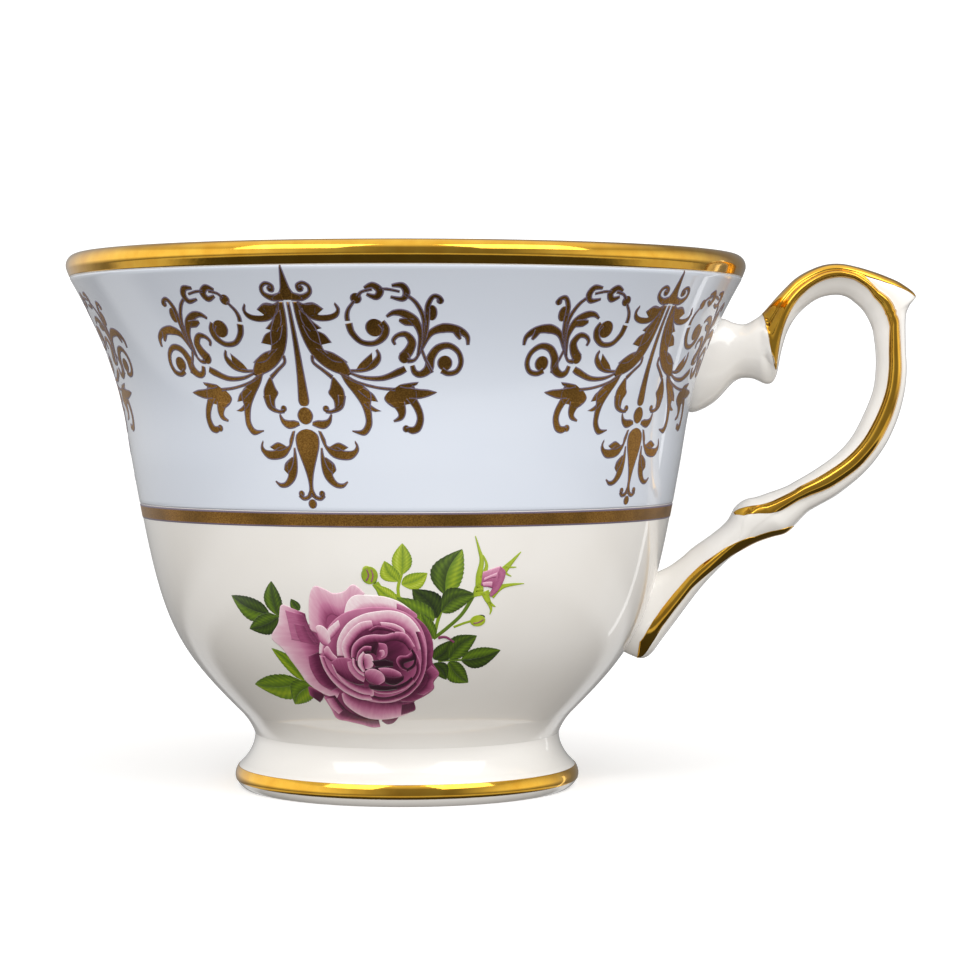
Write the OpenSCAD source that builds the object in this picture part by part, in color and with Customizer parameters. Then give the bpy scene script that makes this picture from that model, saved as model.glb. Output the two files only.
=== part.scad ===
// Footed bone china teacup with a scrolled handle, a pale blue band under the rim, five gold scroll
// motifs, a rose spray and gilded edges. The cup stands on z = 0, its axis is Z, the handle points
// along +X and the rose faces -Y. All lengths are in millimetres.

/* [Bowl] */
// Radius of the lip at its widest
rim_r = 47.5; // [45:0.5:50]
// Height of the cup from the table to the top of the lip
cup_h = 74.5; // [73.5:0.5:75.5]
// Radius of the rolled edge of the lip
lip_r = 1.55; // [1.2:0.05:1.7]
// Thickness of the china wall
wall = 2.4; // [2:0.1:2.8]

/* [Foot] */
// Radius of the foot ring where it stands on the table
foot_r = 23; // [22:0.5:24]
// Inner radius of the foot ring at the table
foot_bore_r = 20.4; // [19.5:0.1:20.8]
// Height of the crease where the foot meets the bowl
foot_h = 9.3; // [9:0.1:9.6]
// Thickness of the slip layers that join the foot and handle to the bowl
slip_t = 0.3; // [0.2:0.05:0.5]

/* [Handle] */
// Half thickness of the handle at its thinnest
handle_half = 3.0; // [2.6:0.1:3.6]
// Interpolated rings between two stations of the handle
handle_steps = 2; // [1:1:3]

/* [Decoration] */
// Thickness of the fired colour and gold layers
skin_t = 0.1; // [0.05:0.01:0.2]
// Thickness of the printed gold and rose transfers
transfer_t = 0.08; // [0.05:0.01:0.2]
// Lower edge of the blue ground
band_bottom = 39.95; // [39.5:0.05:42]
// Lower edge of the gold line under the blue ground
waist_bottom = 38; // [37:0.1:38.5]
// Lower edge of the gilding on the lip
rim_gold_bottom = 71.4; // [71:0.1:72.5]
// Lower edge of the gilding on the foot
foot_gold_bottom = 1.1; // [0.8:0.1:1.6]
// Upper edge of the gilding on the foot
foot_gold_top = 3.05; // [2.6:0.05:3.4]

/* [Hidden] */
$fn = 96;

china = "#ece9e4";
blue = "#cfd9e8";
gold = "#d9a62e";
bronze = "#7a5a22";
slip_white = "#dcd8d0";
rose_pink = "#b45c94";

// Directions of the five scroll motifs round the bowl, in degrees from +X
motif_directions = [36.3, 108, 180.6, -106.8, -36.4];

// ---- curves -------------------------------------------------------------------------------------

// A point on a cubic curve with four control points, at parameter t from 0 to 1
function cubic(k, t) =
    pow(1 - t, 3) * k[0] + 3 * t * pow(1 - t, 2) * k[1] + 3 * t * t * (1 - t) * k[2] + pow(t, 3) * k[3];

// The points of a cubic curve cut into n equal steps, without its last point
function cubic_run(k, n) = [for (i = [0:n - 1]) cubic(k, i / n)];

// Unit vector at right angles to the chord round point i, on the right of the direction of travel
function side_normal(p, i) =
    let (a = p[max(i - 1, 0)])
    let (b = p[min(i + 1, len(p) - 1)])
    let (d = b - a)
    [d[1], -d[0]] / norm(d);

// A curve moved sideways by a distance that may change from point to point
function offset_run(p, dist) = [for (i = [0:len(p) - 1]) p[i] + side_normal(p, i) * dist[i]];

// A list repeated as one value
function same(value, count) = [for (i = [0:count - 1]) value];

// A list in the opposite order
function reversed(p) = [for (i = [len(p) - 1:-1:0]) p[i]];

// ---- outline of the bowl, from the centre of its underside to the lip ----------------------------

crease = [22, foot_h];
waist_joint = [38.3, 45];
lip_centre = [rim_r - lip_r, cup_h - lip_r];
flare_top = lip_centre + [0.95, -1.85];

// Underside, hidden inside the foot
under_run = cubic_run([[0, 5.2], [13, 5.2], [19.2, 6.5], crease], 8);
// Round body up to the joint with the flare
body_run = cubic_run([crease, [33.3, 20.4], [34.4, 23], waist_joint], 14);
// Flare up to the lip
flare_run = cubic_run([waist_joint, [39.6, 52.2], [39.6, 58.3], flare_top], 14);
// Rolled edge, round from the outside over the top to the inside
lip_run = [for (a = [-18:20:142]) lip_centre + lip_r * [cos(a), sin(a)]];

outer_run = concat(under_run, body_run, flare_run, [flare_top]);
outside_run = concat(outer_run, lip_run);

// The wall is as thick as the lip at the top and thins to its usual thickness in the flare
thin_start = len(outer_run) - 10;
wall_run = [
    for (i = [0:len(outer_run) - 1])
        wall + (2 * lip_r - wall) * pow(max(0, i - thin_start) / 9, 2)
];
inner_run = offset_run(outer_run, -wall_run);
inside_run = [for (p = inner_run) [max(p[0], 0), p[1]]];

bowl_outline = concat(outside_run, reversed(inside_run));

// ---- foot ------------------------------------------------------------------------------------------

// Part of the underside that rests on the foot
seat_run = [for (p = concat(under_run, [crease])) if (p[0] > 17) p];
seat_low = [for (p = seat_run) p - [0, slip_t]];
waist_run = cubic_run([crease - [0, slip_t], [21, 7.8], [21.4, 5.6], [foot_r + 0.1, 3.7]], 12);
edge_run = cubic_run([[foot_r + 0.1, 3.7], [foot_r + 1.6, 2.4], [foot_r + 1.5, 0.9], [foot_r, 0]], 10);
foot_outside = concat(waist_run, edge_run, [[foot_r, 0]]);
bore_run = cubic_run([[foot_bore_r, 0], [foot_bore_r - 0.4, 2.2], [18.6, 3.6], seat_low[0]], 8);

// ---- handle ----------------------------------------------------------------------------------------

// Stations along the handle from the upper joint to the lower one:
// [outer edge x, z, inner edge x, z, extra half thickness]
handle_stations = [
    [42.0, 65.6, 38.6, 53.6, 2.0], [44.4, 65.8, 40.2, 52.6, 1.5], [46.0, 65.2, 43.2, 54.0, 0.9],
    [47.5, 65.0, 46.2, 57.0, 0.5], [48.8, 65.6, 48.4, 57.4, 0.3], [49.8, 66.3, 50.7, 56.6, 0.2],
    [50.5, 67.0, 51.9, 57.6, 0.1], [51.8, 68.5, 52.7, 61.3, 0.1], [53.1, 69.9, 53.5, 63.9, 0.1],
    [54.7, 71.4, 54.7, 66.0, 0.1], [56.8, 72.6, 56.3, 67.6, 0.1], [58.9, 73.3, 58.1, 68.7, 0.1],
    [61.0, 73.4, 60.2, 69.1, 0.1], [63.1, 73.0, 61.8, 68.8, 0.1], [65.2, 72.4, 63.2, 67.8, 0.1],
    [67.4, 71.6, 64.1, 66.9, 0.1], [69.5, 70.6, 64.7, 66.0, 0.1], [71.4, 69.0, 65.1, 65.2, 0.1],
    [70.6, 67.6, 65.4, 64.4, 0.1], [70.1, 66.0, 65.6, 63.4, 0.1], [70.1, 61.9, 65.9, 61.0, 0.1],
    [70.2, 58.5, 65.9, 58.3, 0.1], [69.9, 55.2, 65.5, 55.5, 0.1], [68.9, 51.5, 64.2, 52.2, 0.1],
    [67.1, 47.7, 62.5, 49.0, 0.1], [64.4, 44.2, 60.3, 46.6, 0.0], [60.8, 41.2, 57.4, 44.5, 0.0],
    [58.1, 39.6, 54.7, 42.9, 0.0], [56.4, 38.6, 53.2, 42.1, 0.1], [54.5, 36.6, 50.7, 41.2, 0.2],
    [53.2, 35.6, 49.2, 40.7, 0.3], [51.4, 35.1, 47.6, 40.3, 0.3], [49.4, 34.4, 46.2, 39.2, 0.2],
    [47.5, 33.4, 45.1, 37.3, 0.1], [45.2, 31.8, 43.2, 35.6, 0.1], [42.5, 29.1, 40.4, 33.6, 0.1],
    [40.5, 26.7, 38.8, 32.2, 0.2], [37.7, 22.9, 37.3, 31.1, 0.4], [35.9, 20.5, 36.2, 30.5, 0.6],
    [34.4, 18.5, 35.0, 30.0, 0.8], [32.9, 17.9, 33.8, 29.7, 1.0], [30.0, 18.2, 31.7, 29.0, 1.2]
];
// Half of the handle's section from the outer edge to the inner one: [depth, half thickness], each as
// a share of the section's size. Points 2 to 6 are the raised bead along the side.
half_section = [
    [0, 0], [0.03, 0.45], [0.16, 0.82], [0.25, 0.97], [0.35, 1], [0.45, 0.97], [0.54, 0.84],
    [0.76, 0.62], [0.94, 0.34], [1, 0]
];
side_count = len(half_section);
ring_count = 2 * side_count - 2;

// A smooth value between b and c, on the curve through a, b, c and d
function through(a, b, c, d, t) =
    b + 0.5 * t * (c - a + t * (2 * a - 5 * b + 4 * c - d + t * (3 * (b - c) + d - a)));

// The station at a place s along the handle, where s = 0 is the first station
function station_at(s) =
    let (last = len(handle_stations) - 1)
    let (i = min(floor(s), last - 1))
    through(
        handle_stations[max(i - 1, 0)],
        handle_stations[i],
        handle_stations[i + 1],
        handle_stations[min(i + 2, last)],
        s - i
    );

// Point k of the ring round the handle at place s, raised above the china by lift
function handle_point(s, k, lift) =
    let (st = station_at(s))
    let (side = k < side_count ? 1 : -1)
    let (h = half_section[k < side_count ? k : ring_count - k])
    let (half = handle_half + st[4])
    let (depth = [st[2] - st[0], st[3] - st[1]])
    let (size = norm(depth))
    let (away = [(h[0] - 0.5) * size, side * h[1] * half])
    let (out = away / max(norm(away), 0.01) * lift)
    let (along = h[0] + out[0] / size)
    [st[0] + depth[0] * along, side * h[1] * half + out[1], st[1] + depth[1] * along];

// Two triangles for the quad a b c d
function quad(a, b, c, d) = [[a, b, c], [a, c, d]];

// Closed solid along the whole handle
module handle_solid() {
    last = (len(handle_stations) - 1) * handle_steps;
    points = [for (i = [0:last], k = [0:ring_count - 1]) handle_point(i / handle_steps, k, 0)];
    walls = [
        for (i = [0:last - 1], k = [0:ring_count - 1])
            let (a = i * ring_count + k)
            let (b = i * ring_count + (k + 1) % ring_count)
            each quad(a, b, b + ring_count, a + ring_count)
    ];
    ends = [
        [for (k = [ring_count - 1:-1:0]) k],
        [for (k = [0:ring_count - 1]) last * ring_count + k]
    ];
    polyhedron(points, concat(walls, ends));
}

// Layer of gilding on the handle from place s0 to s1, over ring points k0 to k1
module handle_strip(s0, s1, k0, k1) {
    rows = (s1 - s0) * handle_steps;
    cols = k1 - k0;
    wide = cols + 1;
    top = (rows + 1) * wide;
    points = [
        for (lift = [0, skin_t], i = [0:rows], k = [k0:k1])
            handle_point(s0 + i / handle_steps, (k + ring_count) % ring_count, lift)
    ];
    function at(i, k, layer) = layer * top + i * wide + k;
    faces = [
        for (i = [0:rows - 1], k = [0:cols - 1])
            each concat(
                quad(at(i, k, 1), at(i, k + 1, 1), at(i + 1, k + 1, 1), at(i + 1, k, 1)),
                [[at(i, k + 1, 0), at(i, k, 0), at(i + 1, k + 1, 0)]],
                [[at(i + 1, k + 1, 0), at(i, k, 0), at(i + 1, k, 0)]]
            )
    ];
    long_edges = [
        for (i = [0:rows - 1])
            each concat(
                quad(at(i, 0, 0), at(i, 0, 1), at(i + 1, 0, 1), at(i + 1, 0, 0)),
                quad(at(i, cols, 1), at(i, cols, 0), at(i + 1, cols, 0), at(i + 1, cols, 1))
            )
    ];
    short_edges = [
        for (k = [0:cols - 1])
            each concat(
                quad(at(0, k, 0), at(0, k + 1, 0), at(0, k + 1, 1), at(0, k, 1)),
                quad(at(rows, k, 1), at(rows, k + 1, 1), at(rows, k + 1, 0), at(rows, k, 0))
            )
    ];
    polyhedron(points, concat(faces, long_edges, short_edges));
}

// ---- layers on the bowl ----------------------------------------------------------------------------

// Solid of everything inside the bowl's outer face, grown by extra
module bowl_envelope(extra) {
    grown = offset_run(outer_run, same(extra, len(outer_run)));
    side = [for (p = grown) if (p[1] > 11) p];
    rotate_extrude()
        polygon(concat([[0, side[0][1]]], side, [[0, side[len(side) - 1][1]]]));
}

// Layer on the outline, between two distances from the china and two heights
module bowl_layer(run, low, high, z0, z1) {
    near = offset_run(run, same(low, len(run)));
    far = offset_run(run, same(high, len(run)));
    rotate_extrude()
        intersection() {
            polygon(concat(near, reversed(far)));
            translate([0, z0])
                square([rim_r + 2, z1 - z0]);
        }
}

// ---- drawing of the transfers, flat, x across and y up -----------------------------------------------

// Stroke along a cubic curve that tapers from width w0 to w1
module stroke(k, w0, w1, n = 6) {
    run = [for (i = [0:n]) cubic(k, i / n)];
    half = [for (i = [0:n]) (w0 + (w1 - w0) * i / n) / 2];
    polygon(concat(offset_run(run, half), reversed(offset_run(run, -half))));
}

// Pointed leaf from a to b, as wide as w in the middle
module leaf(a, b, w, n = 5) {
    dir = (b - a) / norm(b - a);
    across = [-dir[1], dir[0]];
    up = [for (i = [0:n]) a + (b - a) * i / n + across * (w / 2) * sin(180 * i / n)];
    down = [for (i = [n - 1:-1:1]) a + (b - a) * i / n - across * (w / 2) * sin(180 * i / n)];
    polygon(concat(up, down));
}

// One half of the gold scroll motif, to the right of its axis
module half_motif() {
    leaf([-0.2, 66.5], [5.0, 68.0], 1.6);
    leaf([0.2, 68.5], [3.6, 70.0], 1.4);
    leaf([0, 66.6], [4.4, 58.4], 2.8);
    stroke([[4.2, 59.6], [4.6, 56], [8, 57], [12.6, 57.2]], 0.9, 0.7);
    stroke([[4.2, 59.0], [5.5, 53], [8, 52], [8.6, 49.4]], 1.2, 0.8);
    leaf([3.8, 57.6], [4.8, 48.6], 2.2);
    stroke([[4.6, 50.2], [4.0, 47.5], [1.6, 47.5], [0.6, 46.4]], 0.8, 0.8);
    leaf([10.2, 57.0], [13.4, 51.0], 2.6);
    stroke([[11.6, 57.2], [15, 58], [17.5, 62], [15.5, 64.5]], 1.0, 0.8);
    stroke([[15.8, 64.6], [15, 67.5], [17.5, 69], [19.4, 67.6]], 0.8, 0.6);
    stroke([[12.4, 57.3], [11, 61.5], [13.6, 63.5], [14.6, 60.6]], 0.9, 0.7);
    stroke([[12.0, 60.8], [9.6, 64], [12, 70.8], [14.6, 70.4]], 0.8, 0.6);
    leaf([0.5, 46.8], [6.4, 47.2], 1.7);
    leaf([0.4, 44.2], [4.4, 41.4], 1.5);
}

// The whole motif: axis, spear, drop and two mirrored halves
module motif_drawing() {
    leaf([0, 62], [0, 73], 1.4);
    stroke([[0, 70.4], [0, 64], [0, 60], [0, 54]], 0.6, 1.6);
    circle_at(0, 53.0, 0.95);
    stroke([[0, 53], [0, 51], [0, 49], [0, 46]], 0.8, 0.8);
    leaf([0, 51.4], [0, 41.4], 3.2);
    circle_at(0, 41.2, 0.6);
    half_motif();
    mirror([1, 0])
        half_motif();
}

module circle_at(x, y, r) {
    translate([x, y])
        circle(r, $fn = 24);
}

// Flower head with scalloped petals, stems and leaves
module rose_drawing() {
    petals = 9;
    translate([-4.5, 20.6])
        polygon([
            for (a = [0:8:352])
                (9.4 + 0.9 * abs(sin(petals * a / 2))) * [cos(a), sin(a)]
        ]);
    stroke([[3.5, 23.0], [7, 25], [9.5, 27.5], [12.8, 30]], 0.9, 0.7);
    stroke([[2.5, 21.6], [6, 22], [10, 22], [12.5, 21]], 0.9, 0.6);
    stroke([[-12, 24], [-15, 26], [-16, 27], [-18, 28]], 0.8, 0.6);
    leaf([-15.2, 26.2], [-15.8, 31], 2.4);
    leaf([-15.4, 27.0], [-21.7, 29], 2.6);
    leaf([-15.4, 27.0], [-19.4, 24.2], 2.2);
    leaf([-12.6, 18.0], [-19.4, 16.4], 3.0);
    leaf([-12.8, 20.0], [-16.4, 22.0], 2.0);
    leaf([-10.6, 15.0], [-13.8, 13.4], 2.2);
    leaf([-5.5, 29.0], [-2.6, 32.6], 1.8);
    leaf([-2.5, 28.0], [1.5, 35.0], 3.2);
    leaf([0.0, 28.0], [5.2, 32.0], 2.8);
    leaf([1.8, 26.0], [8.8, 35.4], 4.2);
    leaf([3.5, 24.6], [11.6, 27.6], 3.2);
    leaf([12.2, 29.2], [14.0, 33.0], 2.6);
    leaf([12.0, 29.2], [10.6, 36.6], 1.0);
    leaf([12.4, 29.4], [16.4, 34.8], 1.0);
    leaf([12.2, 29.5], [16.6, 30.0], 1.0);
    leaf([7.4, 21.9], [6.0, 18.0], 2.4);
    leaf([9.6, 22.4], [14.2, 21.4], 3.2);
}

// A drawing wrapped on the outer face of the bowl, facing the direction turn from -Y
module transfer(low, turn, z0, z1) {
    intersection() {
        bowl_layer(outer_run, low, low + transfer_t, z0, z1);
        rotate([0, 0, turn])
            translate([0, -10, 0])
                rotate([90, 0, 0])
                    linear_extrude(height = rim_r)
                        children();
    }
}

module scroll_transfer(index) {
    color(bronze)
        transfer(skin_t, 90 + motif_directions[index], band_bottom + 0.2, rim_gold_bottom)
            motif_drawing();
}

module rose_transfer() {
    color(rose_pink)
        transfer(0, 0, 11, 37.5)
            rose_drawing();
}

// ---- pieces ------------------------------------------------------------------------------------------

module bowl() {
    color(china)
        rotate_extrude()
            polygon(bowl_outline);
}

module foot() {
    color(china)
        rotate_extrude()
            polygon(concat(foot_outside, bore_run, seat_low));
}

module foot_slip_joint() {
    color(slip_white)
        rotate_extrude()
            polygon(concat(seat_low, reversed(seat_run)));
}

module handle() {
    color(china)
        difference() {
            handle_solid();
            bowl_envelope(slip_t);
        }
}

// Slip between the bowl and the handle, over the heights z0 to z1
module handle_slip(z0, z1) {
    color(slip_white)
        intersection() {
            handle_solid();
            bowl_layer(outer_run, 0, slip_t, z0, z1);
        }
}

module handle_slip_upper() {
    handle_slip(50, 68);
}

module handle_slip_lower() {
    handle_slip(16, 32);
}

module blue_ground() {
    color(blue)
        difference() {
            bowl_layer(outside_run, 0, skin_t, band_bottom, rim_gold_bottom);
            handle_solid();
        }
}

module rim_gilding() {
    color(gold)
        bowl_layer(concat(outside_run, reversed(inside_run)), 0, skin_t, rim_gold_bottom, cup_h + 1);
}

module waist_gilding() {
    color(bronze)
        bowl_layer(outer_run, 0, skin_t, waist_bottom, band_bottom);
}

module foot_gilding() {
    run = reversed(foot_outside);
    color(gold)
        bowl_layer(run, 0, skin_t, foot_gold_bottom, foot_gold_top);
}

module handle_gilding_crest() {
    color(gold)
        handle_strip(6, 17, -2, 2);
}

module handle_gilding_near() {
    color(gold)
        handle_strip(6, 31, 12, 16);
}

module handle_gilding_far() {
    color(gold)
        handle_strip(6, 31, 2, 6);
}

module handle_gilding_lower_near() {
    color(gold)
        handle_strip(28, 38, 13, 17);
}

module handle_gilding_lower_far() {
    color(gold)
        handle_strip(28, 38, 1, 5);
}

bowl();
foot();
foot_slip_joint();
handle();
handle_slip_upper();
handle_slip_lower();
blue_ground();
rim_gilding();
waist_gilding();
foot_gilding();
handle_gilding_crest();
handle_gilding_near();
handle_gilding_far();
handle_gilding_lower_near();
handle_gilding_lower_far();
scroll_transfer(0);  // scroll_transfer_1
scroll_transfer(1);  // scroll_transfer_2
scroll_transfer(2);  // scroll_transfer_3
scroll_transfer(3);  // scroll_transfer_4
scroll_transfer(4);  // scroll_transfer_5
rose_transfer();
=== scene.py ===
"""Finished surfaces of a footed bone china teacup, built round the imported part.

The cup stands on z = 0 with its axis on Z, the handle towards +X and the rose towards -Y. Sizes in
the classes are millimetres and become metres when a mesh is made.
"""

import logging
import math
from dataclasses import dataclass, field
from enum import Enum

import bpy
import numpy as np
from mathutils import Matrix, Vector


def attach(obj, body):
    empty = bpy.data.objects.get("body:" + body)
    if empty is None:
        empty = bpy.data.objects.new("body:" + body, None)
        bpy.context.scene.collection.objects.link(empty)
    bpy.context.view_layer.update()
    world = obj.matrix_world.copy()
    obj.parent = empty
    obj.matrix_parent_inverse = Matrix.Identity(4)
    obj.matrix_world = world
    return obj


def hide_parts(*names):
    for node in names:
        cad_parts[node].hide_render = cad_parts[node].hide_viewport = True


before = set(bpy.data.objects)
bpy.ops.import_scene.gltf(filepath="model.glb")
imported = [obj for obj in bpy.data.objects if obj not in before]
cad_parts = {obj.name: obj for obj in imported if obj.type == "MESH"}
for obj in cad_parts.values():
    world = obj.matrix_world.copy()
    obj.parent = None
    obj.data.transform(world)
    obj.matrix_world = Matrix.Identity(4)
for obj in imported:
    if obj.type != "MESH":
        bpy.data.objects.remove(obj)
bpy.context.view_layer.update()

LOG = logging.getLogger("teacup")
MM = 0.001
# a point closer to the axis than this, in millimetres, is a pole
AXIS_REACH = 1e-6
BODY = "root"
Points = np.ndarray


class Slot(Enum):
    """The record's material slots."""

    CHINA = "bone_china"
    SLIP = "slip"
    BLUE = "blue_enamel"
    BRIGHT_GOLD = "bright_gold"
    MATT_GOLD = "matt_gold"
    ROSE = "rose_enamel"


class Side(Enum):
    """The two sides of the handle, as the sign of Y."""

    NEAR = -1
    FAR = 1


# ---- curves and grids --------------------------------------------------------------------------


def cubic(control: list, count: int) -> Points:
    """Samples a cubic curve with four control points.

    Formula: the usual weights (1-t)^3, 3t(1-t)^2, 3t^2(1-t) and t^3 on the four points.

    Args:
        control: four points of any dimension.
        count: how many samples, both ends included.

    Returns:
        An array of count rows.
    """
    t = np.linspace(0.0, 1.0, count)[:, None]
    a, b, c, d = (np.asarray(p, float) for p in control)
    return (1 - t) ** 3 * a + 3 * t * (1 - t) ** 2 * b + 3 * t * t * (1 - t) * c + t**3 * d


def through(points: Points, place: Points, closed: bool = False) -> Points:
    """Reads a smooth curve through given points at any places along it.

    Formula: between points i and i+1 the value is the cubic whose ends are those points and whose
    end slopes are half the chords between their neighbours.

    Args:
        points: rows of values to pass through.
        place: places along the curve, where 0 is the first point and 1 the second.
        closed: whether the last point is followed by the first.

    Returns:
        One row for each place.
    """
    points = np.asarray(points, float)
    total = len(points)
    cell = np.floor(place).astype(int)
    if not closed:
        cell = np.clip(cell, 0, total - 2)
    t = (place - cell)[:, None]
    steps = [cell - 1, cell, cell + 1, cell + 2]
    if closed:
        a, b, c, d = (points[s % total] for s in steps)
    else:
        a, b, c, d = (points[np.clip(s, 0, total - 1)] for s in steps)
    return b + 0.5 * t * (c - a + t * (2 * a - 5 * b + 4 * c - d + t * (3 * (b - c) + d - a)))


def smooth_line(points: list, count: int) -> Points:
    """Samples the smooth curve through points at equal steps of its own parameter."""
    return through(np.asarray(points, float), np.linspace(0.0, len(points) - 1.0, count))


def side_of(path: Points) -> Points:
    """Unit vectors square to a flat path, on the right of its direction of travel."""
    step = np.gradient(path, axis=0)
    step /= np.maximum(np.linalg.norm(step, axis=1, keepdims=True), 1e-9)
    return np.stack([step[:, 1], -step[:, 0]], axis=1)


def grid_faces(rows: int, cols: int, wrap_rows: bool = False, wrap_cols: bool = False) -> np.ndarray:
    """Quads of a grid whose point (i, j) is number i * cols + j.

    Args:
        rows: points along the first parameter.
        cols: points along the second parameter.
        wrap_rows: whether the last row joins the first.
        wrap_cols: whether the last column joins the first.

    Returns:
        An array of quads, four indices each.
    """
    i = np.arange(rows if wrap_rows else rows - 1)[:, None]
    j = np.arange(cols if wrap_cols else cols - 1)[None, :]
    here, below = i * cols, ((i + 1) % rows) * cols
    right = (j + 1) % cols
    return np.stack([here + j, here + right, below + right, below + j], axis=-1).reshape(-1, 4)


@dataclass
class Patch:
    """Points, faces and per-point values of a surface, before it becomes a mesh."""

    points: Points
    quads: np.ndarray
    caps: list = field(default_factory=list)
    values: dict = field(default_factory=dict)


def facing_out(patch: Patch) -> Patch:
    """Makes the faces of a closed patch point outwards.

    Formula: over the triangles that fan out from each face's first corner, the first corner dotted
    with the cross product of the other two adds up to six times the volume held. Where that is
    negative the faces run the wrong way round, and each is read backwards from its first corner, so
    it still splits into the same triangles.

    Args:
        patch: a closed surface whose faces all run the same way round.

    Returns:
        The patch with its points unmoved.
    """
    centred = patch.points - patch.points.mean(axis=0)

    def six_volumes(faces: np.ndarray) -> float:
        """Six times the volume under the faces, as seen from the middle of the patch."""
        corner = centred[faces]
        return float((corner[:, :1] * np.cross(corner[:, 1:-1], corner[:, 2:])).sum())

    held = six_volumes(patch.quads) + sum(six_volumes(np.array([cap])) for cap in patch.caps)
    if held >= 0.0:
        return patch
    caps = [cap[:1] + cap[:0:-1] for cap in patch.caps]
    return Patch(patch.points, patch.quads[:, [0, 3, 2, 1]], caps, patch.values)


def join(patches: list) -> Patch:
    """Joins patches into one, with their per-point values."""
    start = np.cumsum([0] + [len(p.points) for p in patches])
    quads = np.concatenate([p.quads + s for p, s in zip(patches, start)])
    caps = [[k + int(s) for k in cap] for p, s in zip(patches, start) for cap in p.caps]
    names = patches[0].values
    values = {n: np.concatenate([p.values[n] for p in patches]) for n in names}
    return Patch(np.concatenate([p.points for p in patches]), quads, caps, values)


def make_piece(
    name: str, patch: Patch, material: bpy.types.Material, nodes: list
) -> bpy.types.Object:
    """Makes a mesh object from a patch in millimetres and lets it ride on the cup.

    Args:
        name: the piece's name.
        patch: its surface.
        material: its finish.
        nodes: the CAD nodes it stands for.

    Returns:
        The new object.
    """
    mesh = bpy.data.meshes.new(name)
    faces = [list(q) for q in patch.quads.tolist()] + patch.caps
    mesh.from_pydata((patch.points * MM).tolist(), [], faces)
    mesh.polygons.foreach_set("use_smooth", np.ones(len(mesh.polygons), bool))
    for key, value in patch.values.items():
        layer = mesh.attributes.new(key, "FLOAT", "POINT")
        layer.data.foreach_set("value", np.ascontiguousarray(value, np.float32))
    if "along" in patch.values and "across" in patch.values:
        corner = np.zeros(len(mesh.loops), np.int32)
        mesh.loops.foreach_get("vertex_index", corner)
        pair = np.stack([patch.values["along"], patch.values["across"]], axis=1)[corner]
        mesh.uv_layers.new(name="UVMap").data.foreach_set("uv", pair.astype(np.float32).ravel())
    mesh.update()
    mesh.validate(clean_customdata=False)
    piece = bpy.data.objects.new(name, mesh)
    bpy.context.scene.collection.objects.link(piece)
    piece.data.materials.append(material)
    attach(piece, BODY)
    if nodes:
        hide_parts(*nodes)
    LOG.info("%s: %d points, %d faces", name, len(mesh.vertices), len(mesh.polygons))
    return piece


# ---- finishes ------------------------------------------------------------------------------------


def linear(code: str) -> tuple:
    """Turns an sRGB hex value such as "#c8a030" into linear red, green, blue and alpha 1."""
    value = np.array([int(code[k : k + 2], 16) for k in (1, 3, 5)]) / 255.0
    flat = np.where(value <= 0.04045, value / 12.92, ((value + 0.055) / 1.055) ** 2.4)
    return (float(flat[0]), float(flat[1]), float(flat[2]), 1.0)


def add_node(tree: bpy.types.NodeTree, kind: str, settings: dict, links: dict) -> bpy.types.Node:
    """Adds a shader node.

    Args:
        tree: the node tree.
        kind: the node's type name.
        settings: property names, or input names or numbers, with their values.
        links: input names or numbers with the output sockets that feed them.

    Returns:
        The new node.
    """
    node = tree.nodes.new(kind)
    for key, value in settings.items():
        if isinstance(key, str) and key not in node.inputs and hasattr(node, key):
            setattr(node, key, value)
        else:
            node.inputs[key].default_value = value
    for key, socket in links.items():
        tree.links.new(socket, node.inputs[key])
    return node


def set_ramp(node: bpy.types.Node, stops: list) -> None:
    """Sets a colour ramp's stops, given as (position, hex colour) pairs."""
    ramp = node.color_ramp
    while len(ramp.elements) < len(stops):
        ramp.elements.new(0.5)
    for element, (place, code) in zip(ramp.elements, stops):
        element.position = place
        element.color = linear(code)


def new_material(name: str) -> tuple:
    """Makes an empty material and returns it with its tree and its Principled node."""
    material = bpy.data.materials.new(name)
    material.use_nodes = True
    tree = material.node_tree
    return material, tree, tree.nodes["Principled BSDF"]


@dataclass(frozen=True)
class GlazedChina:
    """Bone china under a clear glaze: a soft warm white body with a sharp, even gloss."""

    name: str = "bone_china_glazed"
    colour: str = "#f2efea"
    tint: str = "#ece8e1"
    roughness: float = 0.32
    coat: float = 1.0
    mottle_mm: float = 9.0

    def build(self) -> bpy.types.Material:
        """Builds the material: body colour with a faint cloud, under a smooth coat."""
        material, tree, shader = new_material(self.name)
        place = add_node(tree, "ShaderNodeTexCoord", {}, {})
        cloud = add_node(
            tree, "ShaderNodeTexNoise", {"Scale": 1 / (self.mottle_mm * MM), "Detail": 2.0},
            {"Vector": place.outputs["Object"]},
        )
        mix = add_node(
            tree, "ShaderNodeMix",
            {"data_type": "RGBA", 6: linear(self.tint), 7: linear(self.colour)},
            {0: cloud.outputs["Fac"]},
        )
        wave = add_node(tree, "ShaderNodeBump", {"Strength": 0.05, "Distance": 0.0001},
            {"Height": cloud.outputs["Fac"]})
        tree.links.new(mix.outputs[2], shader.inputs["Base Color"])
        tree.links.new(wave.outputs["Normal"], shader.inputs["Coat Normal"])
        shader.inputs["Roughness"].default_value = self.roughness
        shader.inputs["IOR"].default_value = 1.5
        shader.inputs["Coat Weight"].default_value = self.coat
        shader.inputs["Coat Roughness"].default_value = 0.02
        shader.inputs["Coat IOR"].default_value = 1.5
        return material


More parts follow.
